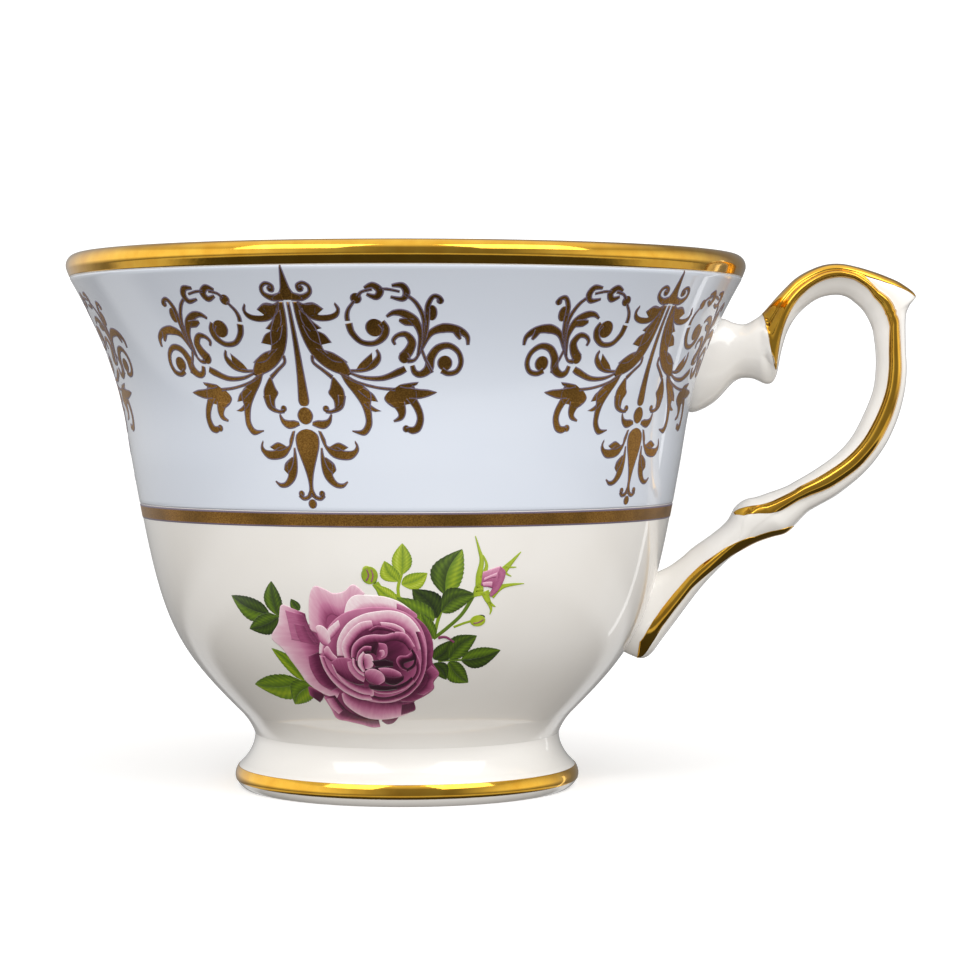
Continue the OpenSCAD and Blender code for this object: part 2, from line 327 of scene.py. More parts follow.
@dataclass(frozen=True)
class BrightGold:
    """Liquid bright gold, brushed on and fired: a mirror gold with the faintest brush waves."""

    name: str = "bright_gold_brushed_on"
    colour: str = "#efc04c"
    deep: str = "#d2952a"
    roughness: float = 0.09
    brush_mm: float = 2.5

    def build(self) -> bpy.types.Material:
        """Builds the material: metal with a slow colour drift and a slight wave."""
        material, tree, shader = new_material(self.name)
        place = add_node(tree, "ShaderNodeTexCoord", {}, {})
        wave = add_node(
            tree, "ShaderNodeTexNoise", {"Scale": 1 / (self.brush_mm * MM), "Detail": 3.0},
            {"Vector": place.outputs["Object"]},
        )
        mix = add_node(
            tree, "ShaderNodeMix",
            {"data_type": "RGBA", 6: linear(self.deep), 7: linear(self.colour)},
            {0: wave.outputs["Fac"]},
        )
        bump = add_node(tree, "ShaderNodeBump", {"Strength": 0.25, "Distance": 0.00006},
            {"Height": wave.outputs["Fac"]})
        tree.links.new(mix.outputs[2], shader.inputs["Base Color"])
        tree.links.new(bump.outputs["Normal"], shader.inputs["Normal"])
        shader.inputs["Metallic"].default_value = 1.0
        shader.inputs["Roughness"].default_value = self.roughness
        return material


@dataclass(frozen=True)
class PrintedGold:
    """Screen-printed bronze gold: a dull metal with fine grains and a thin dark edge."""

    name: str = "bronze_gold_screen_printed"
    light: str = "#b58540"
    dark: str = "#86602c"
    shade: str = "#5f451b"
    edge: str = "#6b5f72"
    roughness: float = 0.38
    grain_mm: float = 0.16
    drift_mm: float = 5.0

    def build(self) -> bpy.types.Material:
        """Builds the material: two gold tones mixed by a fine grain, dark where rim is 1."""
        material, tree, shader = new_material(self.name)
        place = add_node(tree, "ShaderNodeTexCoord", {}, {})
        grain = add_node(
            tree, "ShaderNodeTexNoise", {"Scale": 1 / (self.grain_mm * MM), "Detail": 1.0},
            {"Vector": place.outputs["Object"]},
        )
        spread = add_node(
            tree, "ShaderNodeMapRange", {"From Min": 0.36, "From Max": 0.64}, {"Value": grain.outputs["Fac"]}
        )
        mix = add_node(
            tree, "ShaderNodeMix",
            {"data_type": "RGBA", 6: linear(self.dark), 7: linear(self.light)},
            {0: spread.outputs["Result"]},
        )
        drift = add_node(
            tree, "ShaderNodeTexNoise", {"Scale": 1 / (self.drift_mm * MM), "Detail": 1.0},
            {"Vector": place.outputs["Object"]},
        )
        worn = add_node(
            tree, "ShaderNodeMapRange", {"From Min": 0.3, "From Max": 0.7, "To Max": 0.6},
            {"Value": drift.outputs["Fac"]},
        )
        tone = add_node(
            tree, "ShaderNodeMix", {"data_type": "RGBA", 7: linear(self.shade)},
            {0: worn.outputs["Result"], 6: mix.outputs[2]},
        )
        rim = add_node(tree, "ShaderNodeAttribute", {"attribute_name": "rim"}, {})
        line = add_node(
            tree, "ShaderNodeMapRange", {"From Min": 0.12, "From Max": 0.4}, {"Value": rim.outputs["Fac"]}
        )
        edged = add_node(
            tree, "ShaderNodeMix", {"data_type": "RGBA", 7: linear(self.edge)},
            {0: line.outputs["Result"], 6: tone.outputs[2]},
        )
        metal = add_node(
            tree, "ShaderNodeMapRange", {"To Min": 0.95, "To Max": 0.0}, {"Value": line.outputs["Result"]}
        )
        bump = add_node(tree, "ShaderNodeBump", {"Strength": 0.3, "Distance": 0.00002},
            {"Height": grain.outputs["Fac"]})
        tree.links.new(edged.outputs[2], shader.inputs["Base Color"])
        tree.links.new(metal.outputs["Result"], shader.inputs["Metallic"])
        tree.links.new(bump.outputs["Normal"], shader.inputs["Normal"])
        shader.inputs["Roughness"].default_value = self.roughness
        return material


@dataclass(frozen=True)
class PrintedEnamel:
    """Fired enamel print under gloss: tones run from deep to pale, with streaks along the grain."""

    name: str
    stops: tuple
    streaks: float = 26.0
    streak_depth: float = 0.16

    def build(self) -> bpy.types.Material:
        """Builds the material: the tone attribute, roughened by streaks, read through a ramp."""
        material, tree, shader = new_material(self.name)
        tone = add_node(tree, "ShaderNodeAttribute", {"attribute_name": "tone"}, {})
        grid = add_node(tree, "ShaderNodeUVMap", {"uv_map": "UVMap"}, {})
        stretch = add_node(
            tree, "ShaderNodeMapping", {"Scale": (self.streaks, 1.6, 1.0)}, {"Vector": grid.outputs["UV"]}
        )
        streak = add_node(
            tree, "ShaderNodeTexNoise", {"Scale": 1.0, "Detail": 3.0}, {"Vector": stretch.outputs["Vector"]}
        )
        shift = add_node(
            tree, "ShaderNodeMapRange",
            {"To Min": -self.streak_depth, "To Max": self.streak_depth}, {"Value": streak.outputs["Fac"]},
        )
        total = add_node(
            tree, "ShaderNodeMath", {"operation": "ADD"}, {0: tone.outputs["Fac"], 1: shift.outputs["Result"]}
        )
        ramp = add_node(tree, "ShaderNodeValToRGB", {}, {"Fac": total.outputs["Value"]})
        set_ramp(ramp, list(self.stops))
        tree.links.new(ramp.outputs["Color"], shader.inputs["Base Color"])
        shader.inputs["Roughness"].default_value = 0.4
        shader.inputs["Coat Weight"].default_value = 0.7
        shader.inputs["Coat Roughness"].default_value = 0.06
        return material


PETAL_STOPS = (
    (0.0, "#340d22"), (0.18, "#661b44"), (0.4, "#a04a74"), (0.6, "#c97b9f"), (0.8, "#e3b0c3"),
     (1.0, "#f8e8ea"),
)
LEAF_STOPS = (
    (0.0, "#15200a"), (0.3, "#3f5608"), (0.55, "#6b8a0c"), (0.8, "#a4b81a"), (1.0, "#cbd85a"),
)


# ---- turned china --------------------------------------------------------------------------------


@dataclass
class CupProfile:
    """Outline of the bowl and foot as (radius, height) curves, in millimetres."""

    lip_radius: float = 47.5
    height: float = 74.5
    lip_nose: float = 1.55
    wall: float = 2.4
    crease: tuple = (22.0, 9.3)
    waist: tuple = (38.3, 45.0)
    floor: float = 5.2
    fine: int = 90

    def lip_centre(self) -> Points:
        """Centre of the rolled edge of the lip."""
        return np.array([self.lip_radius - self.lip_nose, self.height - self.lip_nose])

    def outer(self) -> Points:
        """Outer face from the middle of the underside up to the lip's nose."""
        top = self.lip_centre() + [0.95, -1.85]
        under = cubic([(0, self.floor), (13, self.floor), (19.2, 6.5), self.crease], self.fine // 2)
        body = cubic([self.crease, (33.3, 20.4), (34.4, 23.0), self.waist], self.fine)
        flare = cubic([self.waist, (39.6, 52.2), (39.6, 58.3), top], self.fine)
        return np.concatenate([under[:-1], body[:-1], flare])

    def nose(self) -> Points:
        """The rolled edge, from the outside over the top to the inside."""
        turn = np.radians(np.linspace(-18.0, 146.0, 24))[:, None]
        return self.lip_centre() + self.lip_nose * np.hstack([np.cos(turn), np.sin(turn)])

    def inner(self) -> Points:
        """Inner face from the lip down to the middle of the cup's floor.

        Formula: the outer face moved inward by the wall, which thickens to the lip in the flare.
        """
        outer = self.outer()
        steps = np.arange(len(outer))
        swell = np.clip((steps - (len(outer) - 0.7 * self.fine)) / (0.7 * self.fine), 0.0, 1.0) ** 2
        thick = self.wall + (2 * self.lip_nose - self.wall) * swell
        inside = outer - side_of(outer) * thick[:, None]
        inside[:, 0] = np.maximum(inside[:, 0], 0.0)
        inside[0] = (0.0, self.floor + self.wall)
        return inside[::-1]

    def foot_outer(self) -> Points:
        """Outer face of the foot from the crease down to the table."""
        waist = cubic([self.crease, (21.0, 7.8), (21.4, 5.6), (23.1, 3.7)], 40)
        edge = cubic([(23.1, 3.7), (24.6, 2.4), (24.5, 0.9), (23.0, 0.0)], 36)
        return np.concatenate([waist[:-1], edge])

    def outside(self) -> Points:
        """The face seen from outside, from the crease over the lip to the inside."""
        face = self.outer()
        return np.concatenate([face[self.fine // 2 - 1 :], self.nose(), self.inner()[1:-1]])

    def on_bowl(self, angle: Points, height: Points, lift: Points) -> Points:
        """Points on the bowl's outer face.

        Formula: the radius and the outward normal are read from the outline at each height, and the
        point is moved along that normal by lift.

        Args:
            angle: angles about Z from +X, in radians.
            height: heights.
            lift: distances off the china.

        Returns:
            Points with x, y and z.
        """
        face = self.outer()[self.fine // 2 - 1 :]
        normal = side_of(face)
        radius = np.interp(height, face[:, 1], face[:, 0])
        out = np.interp(height, face[:, 1], normal[:, 0])
        up = np.interp(height, face[:, 1], normal[:, 1])
        reach = radius + lift * out
        return np.stack([reach * np.cos(angle), reach * np.sin(angle), height + lift * up], axis=-1)


def lathe(profile: Points, segments: int, across: Points, closed: bool) -> Patch:
    """Turns an outline about Z.

    Formula: point (i, j) is the outline's point j turned by i / segments of a full turn.

    Args:
        profile: (radius, height) points.
        segments: steps round the axis.
        across: one value for each outline point, kept as the across coordinate.
        closed: whether the outline's last point joins its first.

    Returns:
        The turned patch. An outline that starts or ends on the axis gets one point there.
    """
    turn = np.linspace(0.0, 2 * np.pi, segments, endpoint=False)[:, None]
    starts_on_axis, ends_on_axis = (not closed and profile[k, 0] < AXIS_REACH for k in (0, -1))
    off_axis = slice(int(starts_on_axis), len(profile) - int(ends_on_axis))
    ring, kept = profile[off_axis], across[off_axis]
    x = ring[None, :, 0] * np.cos(turn)
    y = ring[None, :, 0] * np.sin(turn)
    z = np.broadcast_to(ring[None, :, 1], x.shape)
    points = np.stack([x, y, z], axis=-1).reshape(-1, 3)
    cols = len(ring)
    quads = grid_faces(segments, cols, wrap_rows=True, wrap_cols=closed)
    along = np.repeat(turn[:, 0] / (2 * np.pi), cols)
    side = np.tile(kept, segments)
    caps = []
    for on_axis, column, index in ((starts_on_axis, 0, 0), (ends_on_axis, cols - 1, len(profile) - 1)):
        if not on_axis:
            continue
        pole = len(points)
        points = np.vstack([points, [0.0, 0.0, profile[index, 1]]])
        along, side = np.append(along, 0.0), np.append(side, across[index])
        row = np.arange(segments)
        near, far = row * cols + column, ((row + 1) % segments) * cols + column
        order = (near, far) if column == 0 else (far, near)
        caps += np.stack([np.full(segments, pole), *order], axis=1).tolist()
    zero = np.zeros(len(points))
    return facing_out(Patch(points, quads, caps, {"along": along, "across": side, "rim": zero}))


def layer_on(run: Points, lift: float, sink: float, edge: float) -> tuple:
    """Closed outline of a fired layer that lies on a run of the china's outline.

    Formula: the run is moved outward by lift, its ends dip under the china by sink within edge
    millimetres, and a second copy below the china closes the ring.

    Args:
        run: the stretch of outline that the layer covers.
        lift: thickness above the china.
        sink: depth of the hidden underside.
        edge: width of the rounded edges.

    Returns:
        The closed outline, and for each point 1 at the layer's edges and 0 inside.
    """
    normal = side_of(run)
    walk = np.concatenate([[0.0], np.cumsum(np.linalg.norm(np.diff(run, axis=0), axis=1))])
    near = np.minimum(walk, walk[-1] - walk)
    rise = np.clip(near / edge, 0.0, 1.0)
    top = run + normal * (lift * np.sin(rise * np.pi / 2) - sink * (rise < 1e-9))[:, None]
    low = run[::-1] - normal[::-1] * sink
    rim = np.concatenate([1.0 - np.clip(near / (2 * edge), 0, 1), np.zeros(len(run) - 2)])
    return np.concatenate([top, low[1:-1]]), rim


def run_between(outline: Points, start: float, end: float, count: int) -> Points:
    """The part of an outline between two places along its length, at even steps."""
    walk = walk_along(outline)
    steps = np.linspace(start, end, count)
    return np.stack([np.interp(steps, walk, outline[:, k]) for k in (0, 1)], axis=1)


def walk_along(outline: Points) -> Points:
    """Length walked along an outline at each of its points."""
    return np.concatenate([[0.0], np.cumsum(np.linalg.norm(np.diff(outline, axis=0), axis=1))])


def length_at(outline: Points, height: float, falling: bool = False) -> float:
    """Length along an outline where it first rises to a height, or last falls to it."""
    walk, z = walk_along(outline), outline[:, 1]
    top = int(np.argmax(z))
    k = top + int(np.argmax(z[top:] < height)) if falling else int(np.argmax(z > height))
    share = (height - z[k - 1]) / (z[k] - z[k - 1])
    return float(walk[k - 1] + share * (walk[k] - walk[k - 1]))


@dataclass
class TurnedChina:
    """Bowl, foot and slip ring, with the layers fired on them."""

    profile: CupProfile
    segments: int = 200
    waist_low: float = 37.98
    waist_high: float = 39.95
    rim_low: float = 71.4
    rim_inside: float = 72.2
    foot_gold: tuple = (1.1, 3.05)
    foot_bore: float = 20.4
    # length of the glaze fillet up the bowl and down the foot, and how far its ends dip under them
    fillet_reach: tuple = (2.6, 1.9)
    fillet_dip: float = 0.03
    slip: float = 0.3
    skin: float = 0.07
    sink: float = 0.05

    def bowl(self, china: bpy.types.Material) -> None:
        """Builds the bowl: underside, outer face, lip and inner face in one turned skin."""
        p = self.profile
        outline = np.concatenate([p.outer(), p.nose(), p.inner()[1:]])
        patch = lathe(outline, self.segments, np.linspace(0, 1, len(outline)), False)
        make_piece("bowl_china", patch, china, ["bowl"])

    def foot(self, china: bpy.types.Material) -> None:
        """Builds the hollow foot ring, from the crease over the base to the underside."""
        p = self.profile
        under = p.outer()[: p.fine // 2]
        seat = under[under[:, 0] > 17.4] - [0.0, self.slip]
        bore = cubic([(self.foot_bore, 0.0), (20.0, 2.2), (18.6, 3.6), tuple(seat[0])], 24)
        outline = np.concatenate([p.foot_outer(), bore[:-1], seat])
        patch = lathe(outline[::-1], self.segments, np.linspace(0, 1, len(outline)), True)
        make_piece("foot_china", patch, china, ["foot"])
        ring = np.concatenate([under[under[:, 0] > 17.4], seat[::-1]])
        slip = lathe(ring[::-1], self.segments, np.linspace(0, 1, len(ring)), True)
        make_piece("foot_slip", slip, china, ["foot_slip_joint"])
        make_piece("foot_glaze_fillet", self.fillet(), china, [])

    def fillet(self) -> Patch:
        """Builds the soft ring of glaze that fills the crease between bowl and foot.

        Formula: a quadratic curve from a point on the bowl to a point on the foot, pulled towards the
        crease, and closed by a second copy a little deeper.
        """
        p = self.profile
        bowl_side, foot_side = p.outer()[p.fine // 2 - 1 :], p.foot_outer()
        start = run_between(bowl_side, 0.0, self.fillet_reach[0], 2)[1]
        end = run_between(foot_side, 0.0, self.fillet_reach[1], 2)[1]
        t = np.linspace(0.0, 1.0, 20)[:, None]
        face = (1 - t) ** 2 * start + 2 * t * (1 - t) * np.array(p.crease) + t**2 * end
        deep = face[::-1] - [0.6, 0.0]
        outline = np.concatenate([face - [self.fillet_dip, 0.0], deep])
        return lathe(outline, self.segments, np.linspace(0, 1, len(outline)), True)

    def ring_layer(
        self, name: str, run: Points, edge: float, finish: bpy.types.Material, node: str
    ) -> None:
        """Builds one fired ring that covers a run of the outline."""
        outline, rim = layer_on(run, self.skin, self.sink, edge)
        patch = lathe(outline, self.segments, np.linspace(0, 1, len(outline)), True)
        patch.values["rim"] = np.tile(rim, self.segments)
        make_piece(name, patch, finish, [node])

    def layers(
        self, blue: bpy.types.Material, bright: bpy.types.Material, printed: bpy.types.Material
    ) -> None:
        """Builds the blue ground, the gilded lip, the waist line and the foot line."""
        face = self.profile.outside()
        base = self.profile.foot_outer()[::-1]
        for name, outline, low, high, inside, edge, finish, slot in (
            ("blue_ground", face, self.waist_high - 0.1, self.rim_low + 0.1, False, 0.1, blue, Slot.BLUE),
            ("rim_gilding", face, self.rim_low, self.rim_inside, True, 0.12, bright, Slot.BRIGHT_GOLD),
            ("waist_gilding", face, self.waist_low, self.waist_high, False, 0.16, printed, Slot.MATT_GOLD),
            ("foot_gilding", base, *self.foot_gold, False, 0.12, bright, Slot.BRIGHT_GOLD),
        ):
            run = run_between(outline, length_at(outline, low), length_at(outline, high, inside), 80)
            self.ring_layer(name, run, edge, finish, name)


# ---- handle --------------------------------------------------------------------------------------


@dataclass
class ScrollHandle:
    """Cast handle: a loft through the listed stations, with a raised bead along each side."""

    half: float = 3.0
    per_station: int = 8
    around: int = 6
    skin: float = 0.07
    sink: float = 0.05
    # outer edge x, z, inner edge x, z, extra half thickness, from the upper joint to the lower one
    stations: tuple = (
        (42.0, 65.6, 38.6, 53.6, 2.0), (44.4, 65.8, 40.2, 52.6, 1.5), (46.0, 65.2, 43.2, 54.0, 0.9),
        (47.5, 65.0, 46.2, 57.0, 0.5), (48.8, 65.6, 48.4, 57.4, 0.3), (49.8, 66.3, 50.7, 56.6, 0.2),
        (50.5, 67.0, 51.9, 57.6, 0.1), (51.8, 68.5, 52.7, 61.3, 0.1), (53.1, 69.9, 53.5, 63.9, 0.1),
        (54.7, 71.4, 54.7, 66.0, 0.1), (56.8, 72.6, 56.3, 67.6, 0.1), (58.9, 73.3, 58.1, 68.7, 0.1),
        (61.0, 73.4, 60.2, 69.1, 0.1), (63.1, 73.0, 61.8, 68.8, 0.1), (65.2, 72.4, 63.2, 67.8, 0.1),
        (67.4, 71.6, 64.1, 66.9, 0.1), (69.5, 70.6, 64.7, 66.0, 0.1), (71.4, 69.0, 65.1, 65.2, 0.1),
        (70.6, 67.6, 65.4, 64.4, 0.1), (70.1, 66.0, 65.6, 63.4, 0.1), (70.1, 61.9, 65.9, 61.0, 0.1),
        (70.25, 58.5, 65.9, 58.3, 0.1), (69.9, 55.15, 65.5, 55.5, 0.1), (68.9, 51.45, 64.2, 52.2, 0.1),
        (67.1, 47.65, 62.5, 49.0, 0.1), (64.4, 44.2, 60.3, 46.6, 0.0), (60.75, 41.15, 57.4, 44.5, 0.0),
        (58.05, 39.55, 54.7, 42.9, 0.0), (56.4, 38.55, 53.2, 42.1, 0.1), (54.5, 36.6, 50.7, 41.2, 0.2),
        (53.2, 35.6, 49.2, 40.7, 0.3), (51.4, 35.1, 47.6, 40.3, 0.3), (49.4, 34.4, 46.2, 39.2, 0.2),
        (47.5, 33.4, 45.1, 37.3, 0.1), (45.2, 31.8, 43.2, 35.6, 0.1), (42.5, 29.1, 40.4, 33.6, 0.1),
        (40.5, 26.7, 38.8, 32.2, 0.2), (37.7, 22.9, 37.3, 31.1, 0.4), (35.9, 20.5, 36.2, 30.5, 0.6),
        (34.4, 18.5, 35.0, 30.0, 0.8), (32.9, 17.9, 34.0, 29.7, 1.0), (30.6, 18.8, 33.6, 29.0, 1.1),
    )
    # half of the section from the outer edge to the inner one: depth and half thickness as shares,
    # with the bead between the depths in bead_plain
    section: tuple = (
        (0.0, 0.0), (0.015, 0.3), (0.05, 0.56), (0.11, 0.69), (0.16, 0.71), (0.2, 0.87), (0.27, 0.98),
        (0.35, 1.0), (0.43, 0.98), (0.5, 0.87), (0.54, 0.73), (0.6, 0.69), (0.78, 0.55), (0.93, 0.33),
        (0.985, 0.17), (1.0, 0.0),
    )
    bead_plain: tuple = (0.16, 0.54)
    # place along the stations, and how far the bead stands out there, from 0 to 1
    relief: tuple = (
        (0.0, 0.0), (4.6, 0.0), (5.5, 1.0), (27.6, 1.0), (30.0, 0.12), (33.0, 0.1), (35.0, 0.6),
        (38.0, 0.5), (40.2, 0.0), (41.0, 0.0),
    )
    # place along the stations, and the depth shares between which the bead stands there
    bead: tuple = (
        (0.0, 0.2, 0.6), (5.0, 0.2, 0.62), (6.0, 0.24, 0.86), (7.0, 0.24, 0.74), (8.0, 0.24, 0.68),
        (9.0, 0.25, 0.6), (10.0, 0.24, 0.52), (12.0, 0.22, 0.45), (13.0, 0.24, 0.44), (14.0, 0.32, 0.5),
        (15.0, 0.41, 0.62), (16.0, 0.43, 0.65), (17.0, 0.5, 0.7), (18.0, 0.4, 0.63), (19.0, 0.26, 0.56),
        (20.0, 0.23, 0.62), (23.0, 0.23, 0.67), (25.0, 0.26, 0.74), (26.0, 0.32, 0.78), (27.0, 0.42, 0.82),
        (28.0, 0.46, 0.8), (29.0, 0.49, 0.79), (30.0, 0.5, 0.8), (32.0, 0.3, 0.7), (33.0, 0.12, 0.4),
        (34.0, 0.1, 0.42), (35.0, 0.16, 0.5), (36.0, 0.23, 0.53), (38.0, 0.21, 0.49), (41.0, 0.15, 0.4),
    )
    # gilded stripes: place, and the depth shares between which the gold lies
    crest_gold: tuple = (
        (5.22, 0.0, 0.03), (5.5, 0.0, 0.2), (13.0, 0.0, 0.22), (14.0, 0.0, 0.22), (15.0, 0.0, 0.18),
        (16.0, 0.0, 0.12), (17.0, 0.0, 0.035), (17.25, 0.0, 0.005),
    )
    side_gold: tuple = (
        (5.5, 0.14, 0.2), (5.62, 0.14, 0.45), (5.76, 0.16, 0.68), (5.95, 0.18, 0.9), (6.15, 0.18, 0.93),
        (6.5, 0.18, 0.84), (7.0, 0.18, 0.76), (8.0, 0.18, 0.69), (9.0, 0.18, 0.61), (10.0, 0.18, 0.53),
        (12.0, 0.18, 0.46), (13.0, 0.18, 0.45), (13.6, 0.19, 0.48), (14.2, 0.3, 0.52), (15.0, 0.39, 0.63),
        (16.0, 0.41, 0.66), (17.0, 0.48, 0.71), (18.0, 0.38, 0.64), (19.0, 0.24, 0.57), (20.0, 0.21, 0.63),
        (23.0, 0.21, 0.68), (25.0, 0.25, 0.75), (26.0, 0.31, 0.79), (27.0, 0.41, 0.83), (28.0, 0.46, 0.81),
        (29.0, 0.5, 0.8), (30.0, 0.57, 0.82), (31.0, 0.64, 0.85), (31.8, 0.74, 0.91), (32.3, 0.9, 0.96),
    )
    lower_gold: tuple = (
        (29.0, 0.0, 0.02), (29.4, 0.0, 0.1), (30.0, 0.0, 0.14), (32.0, 0.0, 0.17), (33.0, 0.01, 0.32),
        (34.0, 0.07, 0.43), (35.0, 0.15, 0.51), (36.0, 0.22, 0.54), (37.0, 0.24, 0.54), (38.0, 0.2, 0.5),
        (39.0, 0.14, 0.44), (39.6, 0.06, 0.36), (40.2, 0.0, 0.22),
    )

    def shifted(self, place: Points, depth: Points, back: bool = False) -> Points:
        """Moves the plain section's depths to where the bead stands, or back again.

        Formula: straight interpolation that sends bead_plain to the bead's limits at each place.

        Args:
            place: places along the stations, one for each row.
            depth: depth shares, of shape rows by columns.
            back: whether to go from real depths to plain ones.

        Returns:
            Depth shares of the same shape.
        """
        table = np.array(self.bead)
        low, high = (np.interp(place, table[:, 0], table[:, k])[:, None] for k in (1, 2))
        a, b = self.bead_plain
        a, b, low, high = (low, high, a, b) if back else (a, b, low, high)
        outer = depth / a * low
        middle = low + (depth - a) / (b - a) * (high - low)
        inner = high + (depth - b) / (1 - b) * (1 - high)
        return np.where(depth < a, outer, np.where(depth < b, middle, inner))

    def surface(self, place: Points, q: Points, lift: Points) -> Points:
        """Points on the handle.

        Formula: the section's smooth closed outline is read at q (0 at the outer edge, positive on
        the far side, negative on the near side), eased towards an ellipse where the relief is low,
        scaled to the station's depth and half thickness, and moved away from the section's middle
        by lift.

        Args:
            place: places along the stations, one for each row.
            q: places round the section, of shape rows by columns.
            lift: distances off the china, of the same shape.

        Returns:
            Points of shape rows by columns by 3.
        """
        half = np.array(self.section)
        near = half[1:-1][::-1] * [1.0, -1.0]
        ring = np.concatenate([half, near])
        shape = through(ring, (q % len(ring)).ravel(), closed=True).reshape(*q.shape, 2)
        station = through(np.array(self.stations), place)
        table = np.array(self.relief)
        strength = np.interp(place, table[:, 0], table[:, 1])[:, None, None]
        outer, inner = station[:, None, 0:2], station[:, None, 2:4]
        depth = inner - outer
        size = np.linalg.norm(depth, axis=-1, keepdims=True)
        thick = self.half + station[:, None, 4:5]
        share = self.shifted(place, np.clip(shape[..., 0], 0.0, 1.0))[..., None]
        smooth = 0.9 * np.sign(shape[..., 1:]) * np.sqrt(4 * share * (1 - share))
        wide = smooth + (shape[..., 1:] - smooth) * strength
        away = np.concatenate([(share - 0.5) * size, wide * thick], axis=-1)
        away /= np.maximum(np.linalg.norm(away, axis=-1, keepdims=True), 1e-6)
        flat = outer + depth * (share + away[..., :1] * lift[..., None] / size)
        across = wide * thick + away[..., 1:] * lift[..., None]
        return np.stack([flat[..., 0], across[..., 0], flat[..., 1]], axis=-1)

    def body(self, china: bpy.types.Material) -> None:
        """Builds the china of the handle, closed at both ends inside the bowl's wall."""
        last = len(self.stations) - 1
        place = np.linspace(0.0, last, last * self.per_station + 1)
        columns = (2 * len(self.section) - 2) * self.around // 2
        q = np.broadcast_to(np.arange(columns) * 2.0 / self.around, (len(place), columns))
        points = self.surface(place, q, np.zeros(q.shape)).reshape(-1, 3)
        quads = grid_faces(len(place), columns, wrap_cols=True)
        first = list(range(columns))[::-1]
        end = [(len(place) - 1) * columns + k for k in range(columns)]
        along = np.repeat(place / last, columns)
        side = np.tile(np.arange(columns) / columns, len(place))
        values = {"along": along, "across": side, "rim": np.zeros(len(points))}
        patch = facing_out(Patch(points, quads, [first, end], values))
        make_piece(
            "handle_china", patch, china, ["handle", "handle_slip_upper", "handle_slip_lower"]
        )

    def stripe(self, name: str, keys: tuple, sides: tuple, gold: bpy.types.Material) -> None:
        """Builds a gilded stripe, named as the CAD node it stands for.

        Formula: at each place the stripe runs over the section between two depths, read from keys
        by straight interpolation; it stands off by skin and its edges dip under the china.

        Args:
            name: the piece's name.
            keys: (place, depth from, depth to) triples in order.
            sides: the side of the section that each of the two depths is on.
            gold: the finish.
        """
        key = np.array(keys, float)
        rows = int((key[-1, 0] - key[0, 0]) * self.per_station) + 1
        place = np.linspace(key[0, 0], key[-1, 0], rows)
        plain = np.array(self.section)[:, 0]
        ends = []
        for column, side in zip((1, 2), sides):
            depth = np.interp(place, key[:, 0], key[:, column])[:, None]
            back = self.shifted(place, depth, back=True)
            ends.append(side.value * np.interp(back[:, 0], plain, np.arange(len(plain)))[:, None])
        low, high = sorted(ends, key=lambda e: float(e.mean()))
        share = np.concatenate([[0.0, 0.03], np.linspace(0.08, 0.92, 15), [0.97, 1.0]])
        rise = np.array([-self.sink] + [self.skin] * (len(share) - 2) + [-self.sink])
        under = np.array([0.8, 0.6, 0.4, 0.2])
        q = low + (high - low) * np.concatenate([share, under])[None, :]
        lift = np.broadcast_to(np.concatenate([rise, np.full(len(under), -2 * self.sink)]), q.shape)
        points = self.surface(place, q, lift).reshape(-1, 3)
        cols = q.shape[1]
        quads = grid_faces(rows, cols, wrap_cols=True)
        caps = [list(range(cols))[::-1], [(rows - 1) * cols + k for k in range(cols)]]
        along = np.repeat(place, cols)
        over = np.tile(np.concatenate([share, under]), rows)
        values = {"along": along, "across": over, "rim": np.zeros(len(points))}
        patch = facing_out(Patch(points, quads, caps, values))
        make_piece(name, patch, gold, [name])

    def gilding(self, gold: bpy.types.Material) -> None:
        """Builds the crest, the two side stripes and the two lower stripes."""
        crest = tuple((s, b, b) for s, _, b in self.crest_gold)
        self.stripe("handle_gilding_crest", crest, (Side.NEAR, Side.FAR), gold)
        for side in (Side.FAR, Side.NEAR):
            word = side.name.lower()
            self.stripe(f"handle_gilding_{word}", self.side_gold, (side, side), gold)
            self.stripe(f"handle_gilding_lower_{word}", self.lower_gold, (side, side), gold)


# ---- printed decoration -----------------------------------------------------------------------------


@dataclass
class Transfer:
    """A flat drawing wrapped on the bowl: x runs round the cup, y is the height."""

    profile: CupProfile
    centre: float
    wrap_radius: float
    base_lift: float
    lean: float = 0.0
    upright: float = 71.0

    def wrap(self, flat: Points, lift: Points) -> Points:
        """Wraps flat points on the bowl.

        Formula: the angle is the centre angle plus x over the wrap radius, where x first gains the
        lean times the drop below the upright height.
        """
        across = flat[..., 0] + self.lean * (self.upright - flat[..., 1])
        angle = math.radians(self.centre) + across / self.wrap_radius
        return self.profile.on_bowl(angle, flat[..., 1], self.base_lift + lift)


